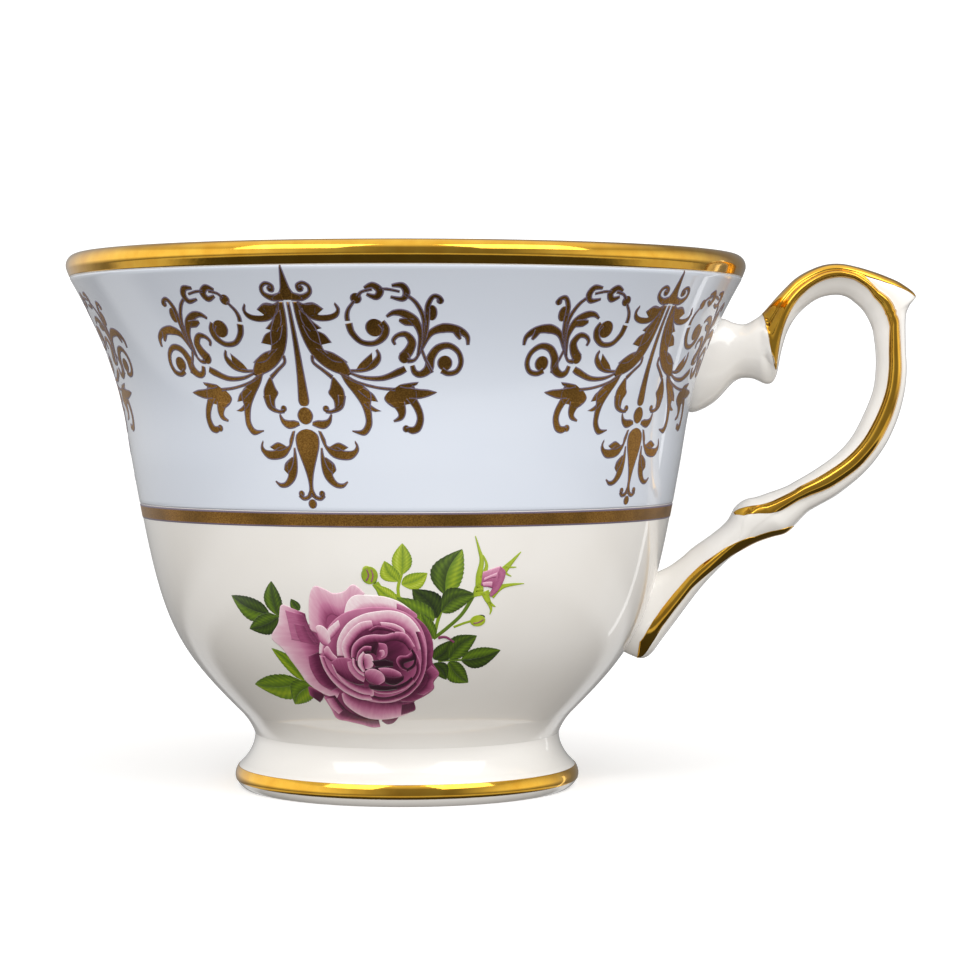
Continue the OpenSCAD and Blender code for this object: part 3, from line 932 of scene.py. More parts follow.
def blade(
    transfer: Transfer, left: Points, right: Points, lift: float, tones: tuple, inset: float = 0.14,
    inner: int = 5, dips: tuple = (-0.02, -0.02), outset: float = 0.0,
) -> Patch:
    """A thin closed blade between two edges of a drawing.

    Formula: column v of row i lies on the line from left edge point i to right edge point i; the
    edges lie at dips, the columns between stand off the china by lift, and a middle line
    underneath closes the blade. The rim value is 1 over the edge line and 0 inside it.

    Args:
        transfer: where the drawing lies.
        left: points of the left edge.
        right: as many points of the right edge.
        lift: height of the blade above its ground.
        tones: tone at the left edge, the middle and the right edge.
        inset: width of the edge line.
        inner: columns inside the two edge lines.
        dips: heights of the two edges.
        outset: how far both edges move outwards.

    Returns:
        The blade's patch.
    """
    width = np.linalg.norm(right - left, axis=1)[:, None]
    way = (right - left) / np.maximum(width, 1e-6)
    total = width + 2 * outset
    rise_at, line_at = np.minimum(0.02, 0.08 * total), np.minimum(inset, 0.28 * total)
    fade_at = np.minimum(inset + 0.04, 0.36 * total)
    middle = np.linspace(0.0, 1.0, inner)[None, :]
    body = fade_at + (total - 2 * fade_at) * middle
    reach = np.hstack([
        0 * total, rise_at, line_at, body, total - line_at, total - rise_at, total, 0.5 * total
    ])
    flat = left[:, None] + way[:, None] * (reach[..., None] - outset)
    cols = reach.shape[1]
    rise = np.full(cols, lift)
    rise[[0, -2]] = dips
    rise[-1] = -0.03
    points = transfer.wrap(flat, np.broadcast_to(rise, reach.shape)).reshape(-1, 3)
    rows = len(left)
    rim = np.zeros(reach.shape)
    rim[:, [0, 1, 2, -4, -3, -2]] = 1.0
    share = reach / np.maximum(total, 1e-6)
    tone = np.interp(share, [0.0, 0.5, 1.0], tones)
    along = np.broadcast_to(np.linspace(0, 1, rows)[:, None], share.shape)
    values = {"along": along.ravel(), "across": share.ravel(), "rim": rim.ravel(), "tone": tone.ravel()}
    caps = [list(range(cols))[::-1], [(rows - 1) * cols + k for k in range(cols)]]
    return facing_out(Patch(points, grid_faces(rows, cols, wrap_cols=True), caps, values))


def stroke(
    transfer: Transfer, path: list, widths: list, lift: float, tones: tuple = (0, 0, 0), count: int = 26,
    outset: float = 0.0,
) -> Patch:
    """A pen stroke: a blade whose edges run beside a path, with a width that changes along it."""
    line = smooth_line(path, count)
    half = np.interp(np.linspace(0, 1, count), np.linspace(0, 1, len(widths)), widths)[:, None] / 2
    side = side_of(line)
    return blade(transfer, line - side * half, line + side * half, lift, tones, outset=outset)


def ball(
    transfer: Transfer, centre: tuple, size: tuple, lift: float, tones: tuple = (0, 0, 0), outset: float = 0.0
) -> Patch:
    """A round or oval spot: a blade between the left and right halves of an ellipse."""
    turn = np.linspace(0.02, np.pi - 0.02, 18)
    (x, y), (rx, ry) = centre, size
    left = np.stack([x - rx * np.sin(turn), y + ry * np.cos(turn)], axis=1)
    right = np.stack([x + rx * np.sin(turn), y + ry * np.cos(turn)], axis=1)
    return blade(transfer, left, right, lift, tones, outset=outset)


@dataclass
class ScrollMotif:
    """One printed gold ornament: spear, drop, acanthus, lily and scroll cluster, mirrored."""

    profile: CupProfile
    lift: float = 0.03
    ground: float = 0.07
    # how far the purple line of the print reaches beyond the gold, and how bold the strokes are
    bleed: float = 0.055
    weight: float = 1.08
    # direction of each motif in degrees and how far it leans, as they were laid on by hand
    places: tuple = ((36.3, 0.0), (108.0, 0.01), (180.6, 0.0), (-106.8, 0.025), (-36.4, 0.004))
    # strokes of the right half: points of the path, then the widths along it
    strokes: tuple = (
        # curl of the hat
        (((0.6, 67.5), (1.9, 67.35), (2.9, 67.9), (2.95, 68.7), (2.3, 69.15), (1.6, 68.85), (1.7, 68.3),
         (2.1, 68.45)),
         (1.0, 0.75, 0.5, 0.42, 0.42, 0.4, 0.5, 0.5)),
        # inner stem and its curl
        (((2.0, 60.1), (2.0, 59.2), (3.2, 58.2), (4.3, 57.3)), (0.4, 0.35, 0.4, 0.5)),
        (((5.4, 55.0), (5.1, 53.6), (3.9, 52.95), (3.0, 53.0)), (1.0, 0.7, 0.4, 0.45)),
        # stem to the scroll cluster
        (((6.6, 57.9), (8.6, 57.25), (11.0, 57.2), (13.2, 58.0), (14.0, 58.4)), (0.2, 0.42, 0.6, 0.85, 0.7)),
        # stem to the lily
        (((5.4, 57.8), (7.6, 56.7), (10.2, 56.0), (12.6, 55.75)), (0.2, 0.3, 0.3, 0.35)),
        # large circle of the cluster, in two strokes, and its chain
        (((15.6, 60.1), (16.3, 62.2), (16.4, 64.6), (15.5, 66.6), (14.2, 67.7)), (0.3, 0.45, 0.5, 0.45, 0.3)),
        (((12.7, 68.75), (13.9, 68.75), (14.4, 67.9), (13.9, 67.1), (12.5, 67.35)),
         (0.3, 0.7, 0.8, 0.6, 0.25)),
        (((13.6, 68.0), (12.2, 68.3), (11.2, 68.3)), (0.25, 0.3, 0.25)),
        (((9.5, 68.45), (10.5, 68.8), (11.3, 68.1), (10.8, 67.35), (9.7, 67.7)), (0.3, 0.7, 0.85, 0.7, 0.3)),
        (((10.4, 68.3), (9.2, 68.0), (8.6, 67.4)), (0.3, 0.3, 0.4)),
        (((8.2, 66.9), (7.4, 65.9), (7.1, 65.1), (7.1, 64.4)), (0.25, 0.4, 0.5, 0.55)),
        (((7.2, 64.1), (7.5, 62.9), (8.6, 61.75), (10.2, 61.6), (11.4, 62.4), (11.7, 63.4), (11.2, 64.2)),
         (0.8, 0.75, 0.6, 0.6, 0.8, 0.9, 0.9)),
        # small scroll inside the cluster
        (((16.0, 60.6), (15.2, 59.5), (14.3, 59.4)), (0.25, 0.35, 0.6)),
        (((13.8, 59.8), (14.6, 60.8), (14.9, 61.8), (14.2, 62.7), (13.2, 62.6), (12.6, 62.0), (12.8, 61.4)),
         (1.3, 1.1, 0.95, 0.7, 0.5, 0.45, 0.25)),
        # leaf that bends inward over it
        (((15.7, 60.4), (16.0, 62.6), (15.3, 64.4), (14.0, 65.3), (12.8, 65.4), (11.9, 64.9)),
         (0.3, 0.6, 1.0, 0.9, 0.6, 0.25)),
        (((15.2, 64.2), (14.2, 64.3), (13.4, 64.5)), (0.8, 0.9, 0.3)),
        # upright hook with its drop
        (((15.9, 60.6), (16.6, 62.6), (16.8, 64.6), (16.9, 66.3), (17.5, 67.4), (18.2, 67.3), (18.5, 66.8)),
         (0.3, 0.45, 0.6, 0.6, 0.5, 0.5, 0.6)),
        # arching leaf
        (((16.1, 60.8), (17.2, 62.8), (18.8, 63.5), (20.6, 63.3), (21.8, 62.5), (22.0, 61.4)),
         (0.3, 0.7, 1.1, 0.9, 0.6, 0.3)),
        (((20.4, 63.2), (20.7, 62.6), (21.0, 62.1)), (0.9, 0.6, 0.25)),
        # outer scroll with the large ball
        (((14.9, 58.8), (15.2, 57.95), (16.0, 57.7), (17.0, 58.4), (17.3, 59.8), (18.2, 61.0), (19.6, 61.3),
          (20.8, 60.5), (21.2, 59.2), (20.7, 58.1), (19.6, 57.8), (18.7, 58.2)),
         (0.5, 0.7, 0.8, 1.1, 1.0, 0.85, 0.7, 0.6, 0.6, 0.6, 0.6, 0.7)),
        (((17.5, 57.9), (16.6, 59.6), (16.1, 60.9)), (0.3, 0.35, 0.3)),
        # feet of the drop
        (((0.1, 42.6), (0.5, 41.95), (1.3, 41.75), (1.85, 42.2)), (0.5, 0.5, 0.45, 0.5)),
    )
    # spots of the right half: x, y, half width, half height
    spots: tuple = (
        (1.95, 68.5, 0.34, 0.34), (3.05, 53.3, 0.42, 0.42), (8.4, 67.2, 0.66, 0.66),
         (10.35, 63.55, 1.12, 1.1),
        (13.9, 59.8, 0.72, 0.72), (17.4, 65.4, 0.62, 0.95), (18.35, 66.9, 0.42, 0.42),
         (19.1, 59.1, 0.95, 0.95),
        (1.55, 42.35, 0.42, 0.42), (13.9, 50.75, 0.45, 0.45),
    )
    # leaves of the right half: points of the outer edge, then of the inner edge, both from the base
    leaves: tuple = (
        # small leaf under the hat
        (((1.1, 66.8), (1.6, 65.5), (2.9, 64.55), (4.6, 64.4), (5.9, 64.9), (6.3, 65.9), (5.8, 66.7)),
         ((1.2, 66.9), (2.2, 66.5), (3.4, 66.5), (3.2, 65.3), (4.9, 65.2), (5.85, 65.7), (5.7, 66.5))),
        (((1.3, 66.2), (2.2, 65.1), (3.4, 65.2)), ((1.6, 66.5), (3.1, 66.7), (4.3, 65.9))),
        # great acanthus leaf
        (((0.6, 66.8), (0.65, 64.6), (1.0, 62.4), (1.8, 60.4), (3.0, 59.0), (4.4, 58.1), (6.4, 57.4)),
         ((1.3, 66.8), (2.0, 65.3), (3.1, 63.2), (3.4, 61.4), (4.0, 60.4), (6.0, 59.6), (7.0, 57.8))),
        (((1.2, 65.8), (1.4, 64.2), (2.2, 63.1)), ((1.6, 65.6), (2.7, 64.4), (3.7, 63.5))),
        (((1.3, 63.9), (2.0, 62.2), (3.3, 61.4)), ((2.4, 63.4), (3.9, 62.8), (4.75, 61.7))),
        (((2.6, 61.0), (4.6, 59.4), (6.0, 59.2)), ((3.0, 60.9), (4.8, 60.4), (6.6, 59.2))),
        # inner leaf on its stem
        (((4.3, 57.4), (3.9, 56.0), (3.6, 55.3), (4.2, 54.4), (4.3, 53.6), (4.2, 53.1)),
         ((4.6, 57.3), (5.6, 55.9), (5.8, 54.9), (5.6, 54.1), (5.1, 53.5), (4.5, 53.2))),
        # small leaf above the stem
        (((6.7, 58.0), (8.4, 57.95), (9.9, 58.4), (10.8, 59.3), (10.9, 60.2), (10.5, 60.9)),
         ((6.8, 58.3), (8.2, 58.4), (9.3, 59.0), (10.0, 59.6), (10.4, 60.1), (10.3, 60.7))),
        (((7.6, 58.3), (8.8, 58.4), (9.8, 59.2)), ((8.1, 59.0), (8.8, 59.6), (9.8, 60.4))),
        # long fern leaf with its hook
        (((5.4, 57.9), (6.0, 56.6), (7.2, 55.0), (8.0, 53.7), (8.4, 52.4), (8.4, 51.4), (7.8, 50.6),
         (6.5, 50.5)),
         ((6.2, 57.7), (8.0, 56.5), (9.3, 55.3), (9.2, 53.6), (9.3, 52.5), (9.2, 51.0), (8.2, 49.9),
          (6.5, 50.4))),
        (((7.6, 55.6), (8.6, 54.8), (9.4, 54.3)), ((8.4, 56.0), (9.6, 55.2), (10.2, 54.2))),
        (((8.2, 54.0), (9.0, 53.2), (9.8, 52.9)), ((8.8, 54.2), (9.6, 53.5), (10.6, 53.0))),
        # lily: body, crown petals and hanging petals
        (((12.3, 55.9), (11.5, 55.3), (11.1, 54.6), (11.6, 53.9), (12.6, 53.4), (13.8, 53.8)),
         ((12.5, 55.8), (13.3, 56.4), (14.6, 56.5), (15.2, 55.9), (15.4, 54.8), (14.9, 54.0))),
        (((13.2, 56.1), (14.4, 55.9), (15.5, 56.4)), ((13.4, 56.4), (14.6, 56.6), (15.7, 56.7))),
        (((14.4, 54.6), (15.8, 54.6), (17.0, 54.9), (18.0, 55.3)),
         ((14.4, 56.0), (15.8, 55.8), (17.0, 55.7), (18.1, 55.4))),
        (((14.0, 54.6), (15.0, 53.3), (15.4, 52.1), (15.0, 51.1), (14.3, 51.0), (13.9, 50.9)),
         ((15.4, 54.6), (16.1, 53.2), (16.3, 51.8), (15.8, 50.5), (14.8, 50.1), (14.0, 50.4))),
        (((11.7, 54.0), (12.6, 53.2), (12.9, 52.4), (12.2, 51.8)),
         ((13.8, 54.2), (13.9, 52.8), (13.4, 51.9), (12.3, 51.6))),
        # side leaves of the bead
        (((0.9, 51.2), (1.9, 50.8), (2.8, 50.8), (3.6, 51.5), (3.85, 52.5)),
         ((1.0, 51.6), (1.7, 51.8), (2.5, 51.8), (3.2, 52.0), (3.7, 52.7))),
        # upper leaves of the drop
        (((1.7, 50.5), (2.1, 49.2), (2.7, 48.0), (3.6, 47.1), (5.0, 46.75), (6.3, 46.9), (7.2, 47.8),
         (7.2, 48.6), (6.8, 49.2)),
         ((2.1, 50.4), (2.6, 49.4), (2.9, 48.5), (4.2, 48.4), (5.0, 48.0), (5.6, 47.9), (6.5, 48.0),
          (6.9, 48.5), (6.75, 49.0))),
        (((3.0, 48.3), (4.2, 47.9), (5.2, 48.0)), ((3.3, 48.5), (4.5, 48.95), (5.8, 48.35))),
        # lower leaves of the drop
        (((1.9, 48.3), (1.75, 46.6), (1.95, 45.0), (2.6, 43.9), (3.7, 43.2), (4.8, 43.2), (5.5, 43.9)),
         ((2.1, 48.3), (2.4, 46.9), (3.4, 46.3), (3.3, 44.9), (3.9, 43.9), (4.7, 43.7), (5.4, 44.0))),
        (((2.2, 47.0), (2.6, 45.8), (3.4, 44.9)), ((2.5, 47.1), (3.6, 46.3), (3.9, 45.4))),
    )

    def half(self, transfer: Transfer, sign: float) -> list:
        """Patches of the right half, or of its mirror image when sign is -1."""
        flip = np.array([sign, 1.0])
        made = []
        for path, widths in self.strokes:
            made.append(stroke(
                transfer, np.array(path) * flip, [self.weight * w for w in widths], self.lift,
                count=6 * len(path), outset=self.bleed,
            ))
        for x, y, rx, ry in self.spots:
            made.append(ball(transfer, (sign * x, y), (rx, ry), self.lift, outset=self.bleed))
        for outer, inner in self.leaves:
            count = 6 * len(outer)
            left, right = smooth_line(np.array(outer) * flip, count), smooth_line(np.array(inner) * flip,
                count)
            made.append(blade(transfer, left, right, self.lift, (0, 0, 0), outset=self.bleed))
        return made

    def axis(self, transfer: Transfer) -> list:
        """Patches on the motif's axis: hat, spear, bead, drop and the dot under it."""
        made = []
        for rows in (
            # hat: height and half width
            ((71.5, 0.05), (70.4, 0.24), (69.4, 0.42), (68.5, 0.62), (67.9, 1.0), (67.5, 1.7),
             (67.2, 1.9), (67.05, 1.3)),
            # spear
            ((66.8, 0.2), (62.0, 0.33), (58.0, 0.5), (55.0, 0.72), (54.2, 0.74), (53.75, 0.5), (53.62, 0.1)),
            # bead
            ((53.5, 0.1), (53.3, 0.6), (52.9, 0.95), (52.4, 1.1), (51.9, 0.95), (51.5, 0.62), (51.28, 0.1)),
            # drop
            ((50.7, 0.1), (50.5, 0.85), (50.0, 1.5), (49.3, 1.72), (48.3, 1.62), (47.2, 1.28), (46.0, 0.86),
             (44.8, 0.5), (43.6, 0.3), (42.8, 0.34), (42.2, 0.6), (41.9, 0.3)),
            # dot
            ((41.65, 0.08), (41.5, 0.42), (41.05, 0.62), (40.6, 0.42), (40.45, 0.08)),
        ):
            line = smooth_line(np.array(rows), 6 * len(rows))
            left = np.stack([-line[:, 1], line[:, 0]], axis=1)
            right = np.stack([line[:, 1], line[:, 0]], axis=1)
            made.append(blade(transfer, left, right, self.lift, (0, 0, 0), outset=self.bleed))
        return made

    def build(self, index: int, centre: float, lean: float, gold: bpy.types.Material) -> None:
        """Builds motif number index, centred on an angle in degrees and leaning a little."""
        transfer = Transfer(self.profile, centre, 42.0, self.ground, lean)
        patch = join(self.axis(transfer) + self.half(transfer, 1.0) + self.half(transfer, -1.0))
        make_piece(f"scroll_transfer_{index}", patch, gold, [f"scroll_transfer_{index}"])


@dataclass
class RoseSpray:
    """Printed rose with leaves and buds on the white of the bowl."""

    profile: CupProfile
    wrap_radius: float = 31.0
    # how much the side veins change a leaf's tone
    vein: float = 0.09
    # how dark a petal's tone falls where it dips behind the next one
    shade: float = 0.66
    # shaded hollows of the flower: x, y, radius, depth of tone
    hollows: tuple = (
        (1.0, 17.4, 4.6, 0.2), (3.0, 22.0, 3.2, 0.16), (-7.5, 13.6, 3.6, 0.14), (-1.4, 20.2, 2.6, 0.12),
        (-12.0, 16.0, 2.6, 0.12),
    )
    # leaves: base, tip, width, bend, tone of the left half, tone of the right half
    leaves: tuple = (
        ((-15.6, 26.3), (-20.9, 28.6), 3.2, 0.5, 0.45, 0.22),
         ((-14.4, 26.2), (-14.6, 30.8), 2.4, 0.3, 0.4, 0.3),
        ((-14.4, 26.0), (-19.2, 24.2), 2.7, 0.3, 0.22, 0.36),
         ((-11.4, 27.0), (-12.3, 28.5), 1.3, 0.1, 0.36, 0.28),
        ((-13.6, 17.0), (-23.1, 16.2), 3.5, 0.5, 0.64, 0.52),
         ((-13.3, 17.3), (-16.6, 21.7), 2.2, -0.4, 0.66, 0.56),
        ((-12.0, 16.6), (-17.2, 13.7), 3.0, -0.5, 0.6, 0.48),
        ((1.0, 31.9), (1.1, 36.0), 2.2, 0.0, 0.82, 0.72), ((0.6, 31.0), (-0.9, 33.7), 2.0, 0.4, 0.8, 0.7),
        ((1.0, 30.6), (3.9, 32.1), 2.2, -0.3, 0.72, 0.82), ((6.0, 29.2), (7.7, 35.2), 3.7, 0.7, 0.36, 0.64),
        ((0.4, 28.6), (-2.0, 30.6), 1.6, 0.2, 0.7, 0.8), ((5.2, 26.2), (2.2, 30.0), 3.1, -0.4, 0.24, 0.16),
        ((4.8, 25.8), (0.4, 28.9), 3.2, 0.4, 0.6, 0.5), ((5.6, 27.0), (9.6, 29.2), 3.0, 0.8, 0.3, 0.42),
        ((4.9, 23.4), (3.2, 27.0), 2.0, 0.2, 0.56, 0.44),
        ((5.0, 20.6), (7.0, 23.1), 2.4, -0.4, 0.28, 0.2), ((7.0, 20.6), (10.2, 23.7), 2.9, 0.5, 0.3, 0.4),
        ((8.6, 20.4), (13.7, 21.6), 2.8, -0.3, 0.42, 0.22),
         ((7.0, 20.2), (10.2, 17.2), 2.5, -0.4, 0.36, 0.44),
        ((5.0, 20.0), (7.0, 17.7), 1.9, 0.3, 0.2, 0.26),
    )
    # stems: path, width, tone
    stems: tuple = (
        (((-15.8, 26.5), (-15.0, 26.2), (-14.0, 26.0)), 0.35, 0.4),
         (((0.7, 28.8), (0.6, 30.2), (1.0, 32.0)), 0.4, 0.74),
        (((-2.0, 30.8), (-1.2, 29.7), (0.6, 28.7), (3.0, 26.6), (4.7, 23.4)), 0.9, 0.7),
        (((4.8, 23.4), (6.4, 24.8), (8.2, 26.8), (9.6, 29.8)), 0.5, 0.45),
        (((4.9, 23.6), (5.2, 25.6), (5.7, 27.6), (6.0, 29.4)), 0.45, 0.62),
        (((7.2, 24.9), (8.4, 25.4), (9.4, 25.7)), 0.35, 0.7), 
        (((5.6, 20.3), (7.2, 20.4), (9.0, 20.4)), 0.3, 0.5),
         (((-13.0, 17.2), (-14.4, 17.0), (-15.4, 16.8)), 0.4, 0.6),
    )
    # thin sepals of the rosebud: path, width at the base
    sepals: tuple = (
        (((10.0, 29.6), (9.8, 31.6), (10.0, 33.6), (9.6, 35.2), (9.1, 36.9)), 1.0),
        (((10.2, 31.4), (10.6, 33.0), (10.1, 34.4)), 0.7), (((12.6, 32.2), (13.4, 33.2), (14.6, 34.7)), 1.1),
        (((12.8, 32.8), (13.6, 32.7), (14.2, 32.7)), 0.45), (((12.9, 32.0), (13.3, 31.7), (13.7, 31.5)), 0.4),
        (((11.4, 29.0), (12.8, 30.2), (15.4, 30.5)), 1.1), (((10.6, 29.6), (11.2, 28.2), (12.1, 27.5)), 1.1),
        (((11.2, 28.2), (11.6, 27.2), (11.5, 26.5)), 0.6), (((10.0, 29.0), (9.8, 30.2), (10.6, 31.0)), 1.5),
    )
    # rosebud and small buds: x, y, half width, half height, tone
    buds: tuple = (
        (-2.6, 31.8, 0.95, 1.15, 0.74), (-2.9, 32.5, 0.5, 0.55, 0.9), (-2.1, 31.4, 0.35, 0.7, 0.5),
        (10.1, 25.7, 0.95, 0.75, 0.84), (10.4, 26.2, 0.55, 0.3, 0.12),
    )
    # petals from back to front: outer edge, inner edge, tones (outer rim, body, inner edge)
    petals: tuple = (
        # deep ground under the whole flower
        (((-11.6, 16.2), (-12.2, 19.5), (-11.6, 23.5), (-9.4, 26.0), (-5.6, 27.6), (-1.0, 27.8), (2.2, 25.8)),
         ((-9.8, 13.0), (-4.0, 11.9), (0.6, 13.0), (4.0, 16.0), (4.6, 19.0), (4.4, 22.4), (3.2, 25.2)),
         (0.5, 0.4, 0.34)),
        # standing petals at the top left
        (((-10.4, 24.4), (-10.2, 27.0), (-9.8, 29.2), (-9.1, 30.3), (-7.9, 29.9), (-6.9, 29.4),
         (-5.6, 29.7), (-4.5, 30.6), (-3.2, 29.4)),
         ((-8.0, 23.4), (-8.2, 24.6), (-8.0, 26.0), (-7.4, 26.6), (-6.8, 26.4), (-6.2, 26.0),
          (-5.6, 26.2), (-5.2, 27.2), (-4.6, 28.4)),
         (0.86, 0.7, 0.5)),
        # pale petals across the top
        (((-5.9, 26.4), (-5.4, 28.2), (-4.4, 29.2), (-2.6, 29.2), (-0.8, 29.0), (1.0, 28.2), (2.8, 26.6)),
         ((-5.0, 25.4), (-4.0, 26.6), (-2.8, 27.2), (-1.6, 27.4), (-0.4, 27.2), (0.8, 26.6), (2.0, 25.6)),
         (1.0, 0.93, 0.8)),
        (((0.4, 28.2), (1.6, 27.6), (2.8, 26.6), (2.4, 25.8)),
         ((0.4, 27.4), (1.2, 26.8), (2.0, 26.0), (2.2, 25.6)), (0.6, 0.5, 0.5)),
        # great petal at the left
        (((-13.4, 27.7), (-13.9, 27.4), (-14.6, 25.2), (-16.1, 23.2), (-15.0, 21.8), (-14.3, 20.4),
         (-13.5, 18.6), (-12.8, 16.9), (-11.0, 15.5), (-9.0, 15.0)),
         ((-10.7, 26.6), (-10.6, 25.6), (-10.2, 24.4), (-9.6, 23.4), (-9.3, 22.2), (-9.4, 20.6),
          (-9.6, 19.2), (-9.4, 17.8), (-8.8, 16.6), (-8.2, 16.0)),
         (0.9, 0.68, 0.3)),
        (((-13.3, 27.0), (-13.2, 25.0), (-13.2, 23.0)), ((-10.9, 26.4), (-10.5, 24.6), (-9.6, 22.6)),
         (0.55, 0.48, 0.38)),
        (((-12.4, 25.2), (-12.3, 23.8), (-12.0, 22.8)), ((-11.0, 25.0), (-10.6, 23.6), (-9.9, 22.4)),
         (0.42, 0.4, 0.34)),
        (((-11.4, 20.8), (-11.6, 19.0), (-11.0, 17.0), (-9.6, 16.0)),
         ((-9.5, 21.6), (-9.3, 19.4), (-8.8, 17.6), (-8.2, 16.6)), (0.42, 0.22, 0.16)),
        # dark tips at the lower left
        (((-13.4, 15.2), (-12.9, 16.5), (-11.2, 15.7)), ((-12.2, 14.2), (-11.6, 14.6), (-10.9, 15.3)),
         (0.5, 0.24, 0.2)),
        # petals along the bottom
        (((-11.2, 15.0), (-10.8, 13.4), (-10.5, 11.9), (-8.6, 11.5), (-6.4, 11.1), (-4.6, 10.7),
         (-3.1, 10.8)),
         ((-9.2, 15.4), (-8.8, 14.4), (-8.2, 13.4), (-7.2, 12.7), (-6.0, 12.3), (-4.6, 12.1), (-3.2, 11.9)),
         (0.76, 0.34, 0.16)),
        (((-10.8, 14.8), (-10.6, 13.6), (-9.8, 12.6)), ((-9.6, 15.0), (-9.2, 14.0), (-8.8, 13.2)),
         (0.9, 0.7, 0.45)),
        (((-2.7, 11.7), (-1.8, 11.2), (-0.6, 11.5), (0.3, 12.4)),
         ((-2.4, 12.2), (-1.4, 12.4), (-0.4, 12.6), (0.4, 12.8)), (0.3, 0.22, 0.2)),
        (((-8.1, 15.6), (-8.1, 14.2), (-6.8, 12.9), (-5.0, 12.1), (-3.0, 11.9), (-0.8, 12.1), (1.2, 12.6),
         (2.9, 13.4)),
         ((-7.4, 16.0), (-6.6, 15.4), (-5.4, 15.0), (-4.0, 14.8), (-2.4, 14.6), (-0.8, 14.5), (1.0, 14.6),
          (2.6, 14.5)),
         (0.92, 0.62, 0.26)),
        (((0.6, 12.6), (1.8, 12.9), (2.9, 13.4), (2.7, 14.4)),
         ((0.8, 14.2), (1.6, 14.3), (2.2, 14.4), (2.6, 14.5)), (0.34, 0.22, 0.2)),
        # petals down the right side
        (((2.6, 26.4), (3.8, 25.2), (4.6, 23.6), (4.9, 21.9), (4.9, 20.2), (5.9, 18.6), (5.3, 17.4),
         (5.4, 16.4), (4.2, 15.4), (2.4, 14.6), (0.8, 14.6)),
         ((2.0, 25.6), (2.8, 24.2), (3.4, 22.8), (3.8, 21.2), (3.9, 19.8), (3.9, 18.6), (3.4, 17.6),
          (2.8, 16.8), (2.0, 16.0), (1.2, 15.4), (0.2, 15.2)),
         (0.5, 0.42, 0.24)),
        (((4.8, 19.8), (5.9, 18.6), (5.2, 17.6), (5.3, 16.5), (4.0, 15.5)),
         ((3.9, 18.8), (4.4, 18.0), (4.2, 17.2), (3.8, 16.6), (3.0, 15.8)), (0.6, 0.46, 0.2)),
        # base of the cup of the flower
        (((-9.7, 21.0), (-8.6, 24.0), (-6.2, 26.6), (-3.0, 27.6), (0.4, 27.4), (2.8, 25.8), (4.0, 22.8),
         (4.0, 19.6), (3.0, 16.9), (0.6, 14.9), (-2.4, 14.4), (-5.6, 15.2), (-8.2, 17.4), (-9.7, 21.0)),
         ((-4.0, 20.4), (-3.9, 20.8), (-3.6, 21.2), (-3.2, 21.4), (-2.7, 21.4), (-2.3, 21.1),
          (-2.0, 20.7), (-2.0, 20.3), (-2.2, 19.9), (-2.5, 19.6), (-3.0, 19.5), (-3.5, 19.7),
          (-3.9, 20.0), (-4.0, 20.4)),
         (0.72, 0.34, 0.1)),
        # outer ring of petals
        (((-9.8, 21.2), (-9.3, 22.9), (-8.3, 24.0), (-7.9, 24.8), (-6.6, 25.9)),
         ((-9.1, 21.4), (-8.6, 22.4), (-7.9, 23.2), (-7.2, 23.8), (-6.4, 24.8)), (0.96, 0.86, 0.5)),
        (((-9.6, 24.8), (-9.3, 25.1), (-8.6, 25.0), (-8.0, 24.2), (-7.9, 23.0)),
         ((-9.5, 24.4), (-9.5, 23.6), (-9.3, 22.8), (-8.9, 22.4), (-8.4, 22.4)), (0.92, 0.84, 0.6)),
        (((-7.4, 21.0), (-7.0, 23.2), (-5.6, 25.4), (-3.8, 26.6), (-2.0, 27.1), (0.0, 27.2), (1.8, 26.4),
         (3.2, 24.4), (3.7, 22.0)),
         ((-6.0, 21.0), (-5.6, 22.6), (-4.6, 24.0), (-3.2, 25.0), (-1.8, 25.2), (-0.4, 25.4), (0.9, 24.8),
          (2.2, 23.6), (2.8, 21.8)),
         (1.0, 0.78, 0.5)),
        (((-6.4, 20.4), (-6.6, 22.4), (-5.4, 24.4), (-4.0, 25.6), (-2.6, 25.9)),
         ((-5.6, 20.6), (-5.6, 22.0), (-4.7, 23.4), (-3.6, 24.4), (-2.4, 24.9)), (0.95, 0.7, 0.36)),
        (((-1.6, 25.7), (0.0, 25.5), (1.2, 24.8), (1.4, 24.0)),
         ((-1.4, 25.0), (-0.2, 24.8), (0.7, 24.4), (0.9, 23.9)), (0.95, 0.74, 0.5)),
        # rings down the right
        (((3.3, 24.4), (4.0, 22.0), (4.1, 19.4), (3.4, 17.2), (2.0, 15.8)),
         ((2.6, 24.4), (3.3, 22.0), (3.4, 19.6), (2.8, 17.8), (1.6, 16.4)), (0.86, 0.5, 0.34)),
        (((2.4, 22.0), (3.2, 20.6), (3.4, 19.0), (2.8, 17.6), (1.8, 16.6)),
         ((2.0, 21.6), (2.7, 20.2), (2.8, 19.0), (2.3, 18.0), (1.4, 17.2)), (0.86, 0.44, 0.2)),
        # rings along the bottom
        (((3.2, 16.9), (1.8, 15.5), (-0.4, 14.7), (-2.6, 14.5), (-4.8, 15.2)),
         ((2.8, 17.5), (1.4, 16.3), (-0.4, 15.5), (-2.4, 15.3), (-4.4, 16.0)), (0.85, 0.34, 0.12)),
        (((2.6, 17.6), (1.4, 16.5), (-0.6, 15.8), (-2.6, 15.8), (-3.9, 16.6)),
         ((2.2, 18.2), (1.2, 17.4), (-0.6, 16.8), (-2.4, 16.8), (-3.6, 17.2)), (0.88, 0.26, 0.08)),
        (((-8.4, 19.8), (-7.8, 17.8), (-6.4, 16.4), (-4.6, 15.6), (-3.4, 15.4), (-3.2, 16.2)),
         ((-7.6, 19.6), (-7.0, 18.2), (-5.8, 17.2), (-4.6, 16.8), (-3.9, 16.8), (-3.7, 17.0)),
         (0.9, 0.6, 0.2)),
